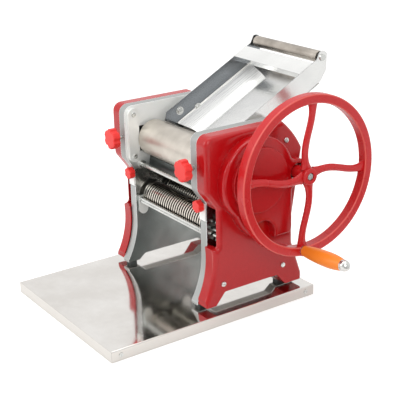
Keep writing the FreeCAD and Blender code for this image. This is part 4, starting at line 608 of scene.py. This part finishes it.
def on_chute(along, depth):
    """Y and Z of a point along the chute's top edge and square below it."""
    return (CHUTE_TOP[0] + along * math.cos(CHUTE_TILT) + depth * math.sin(CHUTE_TILT),
            CHUTE_TOP[1] + along * math.sin(CHUTE_TILT) - depth * math.cos(CHUTE_TILT))


def both_sides(face, holes, outwards):
    """The places of the holes on the left and the right face, and the way in which the heads look."""
    return [((side * face, y, z), (side * outwards, 0, 0)) for side in (-1, 1) for y, z in holes]


cover_screw = pan_head_screw(head_mm=3.6, height_mm=2.2, shank_mm=2, reach_mm=20)
drive_in(cover_screw, both_sides(COVER_FACE, COVER_HOLES, 1), "cover_pan_screws", "cover_screws")
keeper_screw = pan_head_screw(head_mm=3.5, height_mm=1.6, shank_mm=2, reach_mm=13)
drive_in(keeper_screw, both_sides(KEEPER_FACE, KEEPER_HOLES, -1), "keeper_pan_screws", "keeper_screws")
chute_screw = pan_head_screw(head_mm=4.2, height_mm=2, shank_mm=2, reach_mm=17, washer_mm=6)
chute_spots = both_sides(CHUTE_FACE, [on_chute(*hole) for hole in CHUTE_HOLES], -1)
drive_in(chute_screw, chute_spots, "chute_pan_screws", "chute_screws")
board_screw = pan_head_screw(head_mm=3, height_mm=0.8, shank_mm=1.4, reach_mm=12)
drive_in(board_screw, both_sides(BOARD_FACE, BOARD_HOLES, 1), "board_pan_screws", "base_edge_screws")

# %% [markdown]
# ## The strip in the chute
#
# A bright strip of sheet lies along the chute's left wall, perhaps to steer the dough to the middle. It is
# flat by the wall and then rolls down to the floor, and its far end is trimmed askew. It is made from a
# plane whose outer edge is folded up at the wall, and whose inner edge is extruded in small steps, each so
# far out and so far down, to the floor. A bisect trims the end, and a Solidify gives the gauge.

# %% Strip
STRIP_WIDTH = 28
STRIP_LENGTH = 144
STRIP_FOLD = 2
STRIP_ROLL = ((5, 0.2), (5, 0.6), (4, 1), (3, 1.2), (2, 1.3), (0.8, 0.9))
STRIP_ALONG, STRIP_DEPTH = 40, 25.4
STRIP_GAUGE = 0.5
half_width = STRIP_WIDTH / 2
trimmed_corner = (-half_width * MM, (STRIP_LENGTH / 2 - 1) * MM, 0)
middle_x = half_width - CHUTE_FACE

bpy.ops.object.select_all(action="DESELECT")
bpy.ops.mesh.primitive_plane_add(size=1, location=(0, 0, 0))
strip = bpy.context.object
bpy.ops.transform.resize(value=(STRIP_WIDTH * MM, STRIP_LENGTH * MM, 1))
bpy.ops.object.transform_apply(location=True, rotation=True, scale=True)
bpy.ops.object.mode_set(mode="EDIT")
choose("EDGE", lambda edge: all(vertex.co.x < (1 - half_width) * MM for vertex in edge.verts))
bpy.ops.mesh.extrude_region_move(TRANSFORM_OT_translate={"value": (0, 0, STRIP_FOLD * MM)})
choose("EDGE", lambda edge: all(vertex.co.x > (half_width - 1) * MM for vertex in edge.verts))
for out, down in STRIP_ROLL:
    bpy.ops.mesh.extrude_region_move(TRANSFORM_OT_translate={"value": (out * MM, 0, -down * MM)})
bpy.ops.mesh.select_all(action="SELECT")
bpy.ops.mesh.bisect(plane_co=trimmed_corner, plane_no=(0.3, 1, 0), clear_outer=True)
bpy.ops.object.mode_set(mode="OBJECT")
middle_of_strip = Vector((middle_x, *on_chute(STRIP_ALONG, STRIP_DEPTH))) * MM
strip.data.transform(Matrix.Translation(middle_of_strip) @ Matrix.Rotation(CHUTE_TILT, 4, "X"))
apply_modifier(strip, "SOLIDIFY", thickness=STRIP_GAUGE * MM, offset=0)
bpy.ops.object.shade_smooth_by_angle(angle=SMOOTH_ANGLE)
strip = join_as("chute_strip", [strip], "stand", strip_sheet)
print("strip", len(strip.data.polygons), "faces")

# %% [markdown]
# ## The studio
#
# A product photograph of bright metal needs large soft lights, because polished steel shows little but what
# stands round it. A plain pale floor carries the machine and its shadow. A glow that the camera sees whole,
# and the mirrors in part, lifts it to almost white. Places and sizes in the studio are in metres.

# %% Floor
bpy.ops.object.select_all(action="DESELECT")
bpy.ops.mesh.primitive_circle_add(vertices=96, radius=12, fill_type="NGON", location=(0, 0, -0.4 * MM))
floor = bpy.context.object
floor.name = "studio_floor"
floor_paper, tree = blank_material("pale_paper_floor")
paper = add(tree, "ShaderNodeBsdfPrincipled", {"Base Color": linear("#E9E9E8"),
                                               "Roughness": 0.9}).outputs[0]
rays = add(tree, "ShaderNodeLightPath")
mirrored, looked_at = rays.outputs["Is Glossy Ray"], rays.outputs["Is Camera Ray"]
seen = add(tree, "ShaderNodeMath", {0: mirrored, 1: 0.6, 2: looked_at}, operation="MULTIPLY_ADD").outputs[0]
glow = add(tree, "ShaderNodeEmission", {"Color": linear("#FFFFFF"), "Strength": 0.5}).outputs[0]
both = add(tree, "ShaderNodeAddShader", {0: paper, 1: glow}).outputs[0]
choice = add(tree, "ShaderNodeMixShader", {0: seen, 1: paper, 2: both}).outputs[0]
add(tree, "ShaderNodeOutputMaterial", {"Surface": choice})
floor.data.materials.append(floor_paper)
print("floor ready")

# %% [markdown]
# In the photograph the upright red faces on the right mirror pale paper only near their feet, and something
# darker above it. A dark card lies on the floor to the right for that. Only reflections see it: the camera,
# the soft light and the shadows pass through it.

# %% Dark card for the reflections
bpy.ops.object.select_all(action="DESELECT")
bpy.ops.mesh.primitive_plane_add(size=1, location=(0.52, -0.25, 0.002))
card = bpy.context.object
card.name = "dark_card"
bpy.ops.transform.resize(value=(0.3, 1.5, 1))
card.visible_camera = False
card.visible_diffuse = False
card.visible_transmission = False
card.visible_shadow = False
card_felt, tree = blank_material("dark_felt_card")
felt = add(tree, "ShaderNodeBsdfPrincipled", {"Base Color": linear("#1C1A1A"),
                                              "Roughness": 0.95}).outputs[0]
add(tree, "ShaderNodeOutputMaterial", {"Surface": felt})
card.data.materials.append(card_felt)
print("dark card ready")

# %% [markdown]
# The room is white where the camera and the mirrors see it, and gives a weaker light to everything else.
# Towards the camera's own side the mirrors see it darker, as they would the unlit part of a studio.

# %% The room
TOWARDS_CAMERA = (0.72, -0.62, 0.3)
world = bpy.data.worlds.new("studio_room")
bpy.context.scene.world = world
world.use_nodes = True
tree = world.node_tree
tree.nodes.clear()
rays = add(tree, "ShaderNodeLightPath")
direct = add(tree, "ShaderNodeMath", {0: rays.outputs["Is Camera Ray"], 1: rays.outputs["Is Glossy Ray"]},
             operation="MAXIMUM").outputs[0]
seen = add(tree, "ShaderNodeMath", {0: direct, 1: rays.outputs["Is Transmission Ray"]},
           operation="MAXIMUM").outputs[0]
strength = add(tree, "ShaderNodeMapRange", {"Value": seen, "To Min": 0.66, "To Max": 1.0}).outputs["Result"]
aim = add(tree, "ShaderNodeTexCoord").outputs["Generated"]
front = add(tree, "ShaderNodeVectorMath", {0: aim, 1: TOWARDS_CAMERA},
            operation="DOT_PRODUCT").outputs["Value"]
front = add(tree, "ShaderNodeMapRange", {"Value": front, "From Min": 0.35,
                                         "From Max": 0.8}).outputs["Result"]
unlit = add(tree, "ShaderNodeMath", {0: front, 1: rays.outputs["Is Glossy Ray"]},
            operation="MULTIPLY").outputs[0]
strength = add(tree, "ShaderNodeMath", {0: unlit, 1: -0.4, 2: strength},
               operation="MULTIPLY_ADD").outputs[0]
room = add(tree, "ShaderNodeBackground", {"Color": linear("#FFFFFF"), "Strength": strength}).outputs[0]
add(tree, "ShaderNodeOutputWorld", {"Surface": room})
print("room ready")

# %% [markdown]
# Three soft lamps stand above, at the front left and at the right. Their power is in watts.


# %% Lamps
def softbox(name, place, aim, size, power):
    """A soft rectangular lamp that faces a point."""
    lamp = bpy.data.lights.new(name, "AREA")
    lamp.shape = "RECTANGLE"
    lamp.size, lamp.size_y = size
    lamp.energy = power
    holder = bpy.data.objects.new(name, lamp)
    bpy.context.scene.collection.objects.link(holder)
    holder.location = place
    holder.rotation_euler = (Vector(aim) - Vector(place)).to_track_quat("-Z", "Y").to_euler()


softbox("top_softbox", place=(-0.1, 0.1, 1.7), aim=(0, 0, 0.1), size=(1.6, 1.2), power=10)
softbox("front_left_softbox", place=(-0.8, -1.6, 1.1), aim=(0, 0, 0.15), size=(0.9, 1.2), power=11)
softbox("right_softbox", place=(1.35, -0.75, 1.25), aim=(0, 0, 0.2), size=(0.7, 0.9), power=9)
print(len(bpy.data.lights), "lamps")

# %% [markdown]
# ## The camera
#
# The photograph looks down on the machine from its right front corner. The camera's place, its slight roll
# and the long lens were worked out from points whose place on the machine is known.

# %% Camera
AZIMUTH, ELEVATION, ROLL = (math.radians(angle) for angle in (55.64, 20.35, -1.31))
CAMERA_PLACE = (1.0721, -0.6723, 0.60325)
FOCAL_LENGTH_MM = 91.74

back = Vector((math.sin(AZIMUTH) * math.cos(ELEVATION), -math.cos(AZIMUTH) * math.cos(ELEVATION),
               math.sin(ELEVATION)))
level = Vector((0, 0, 1)).cross(back).normalized()
upright = back.cross(level)
right = math.cos(ROLL) * level + math.sin(ROLL) * upright
up = math.cos(ROLL) * upright - math.sin(ROLL) * level
camera = bpy.data.objects.new("camera", bpy.data.cameras.new("camera"))
bpy.context.scene.collection.objects.link(camera)
turn = Matrix((right, up, back)).transposed().to_4x4()
camera.matrix_world = Matrix.Translation(CAMERA_PLACE) @ turn
camera.data.sensor_width = 36
camera.data.lens = FOCAL_LENGTH_MM
camera.data.clip_end = 40
bpy.context.scene.camera = camera
bpy.context.scene.view_settings.view_transform = "Standard"
print("camera at", CAMERA_PLACE)
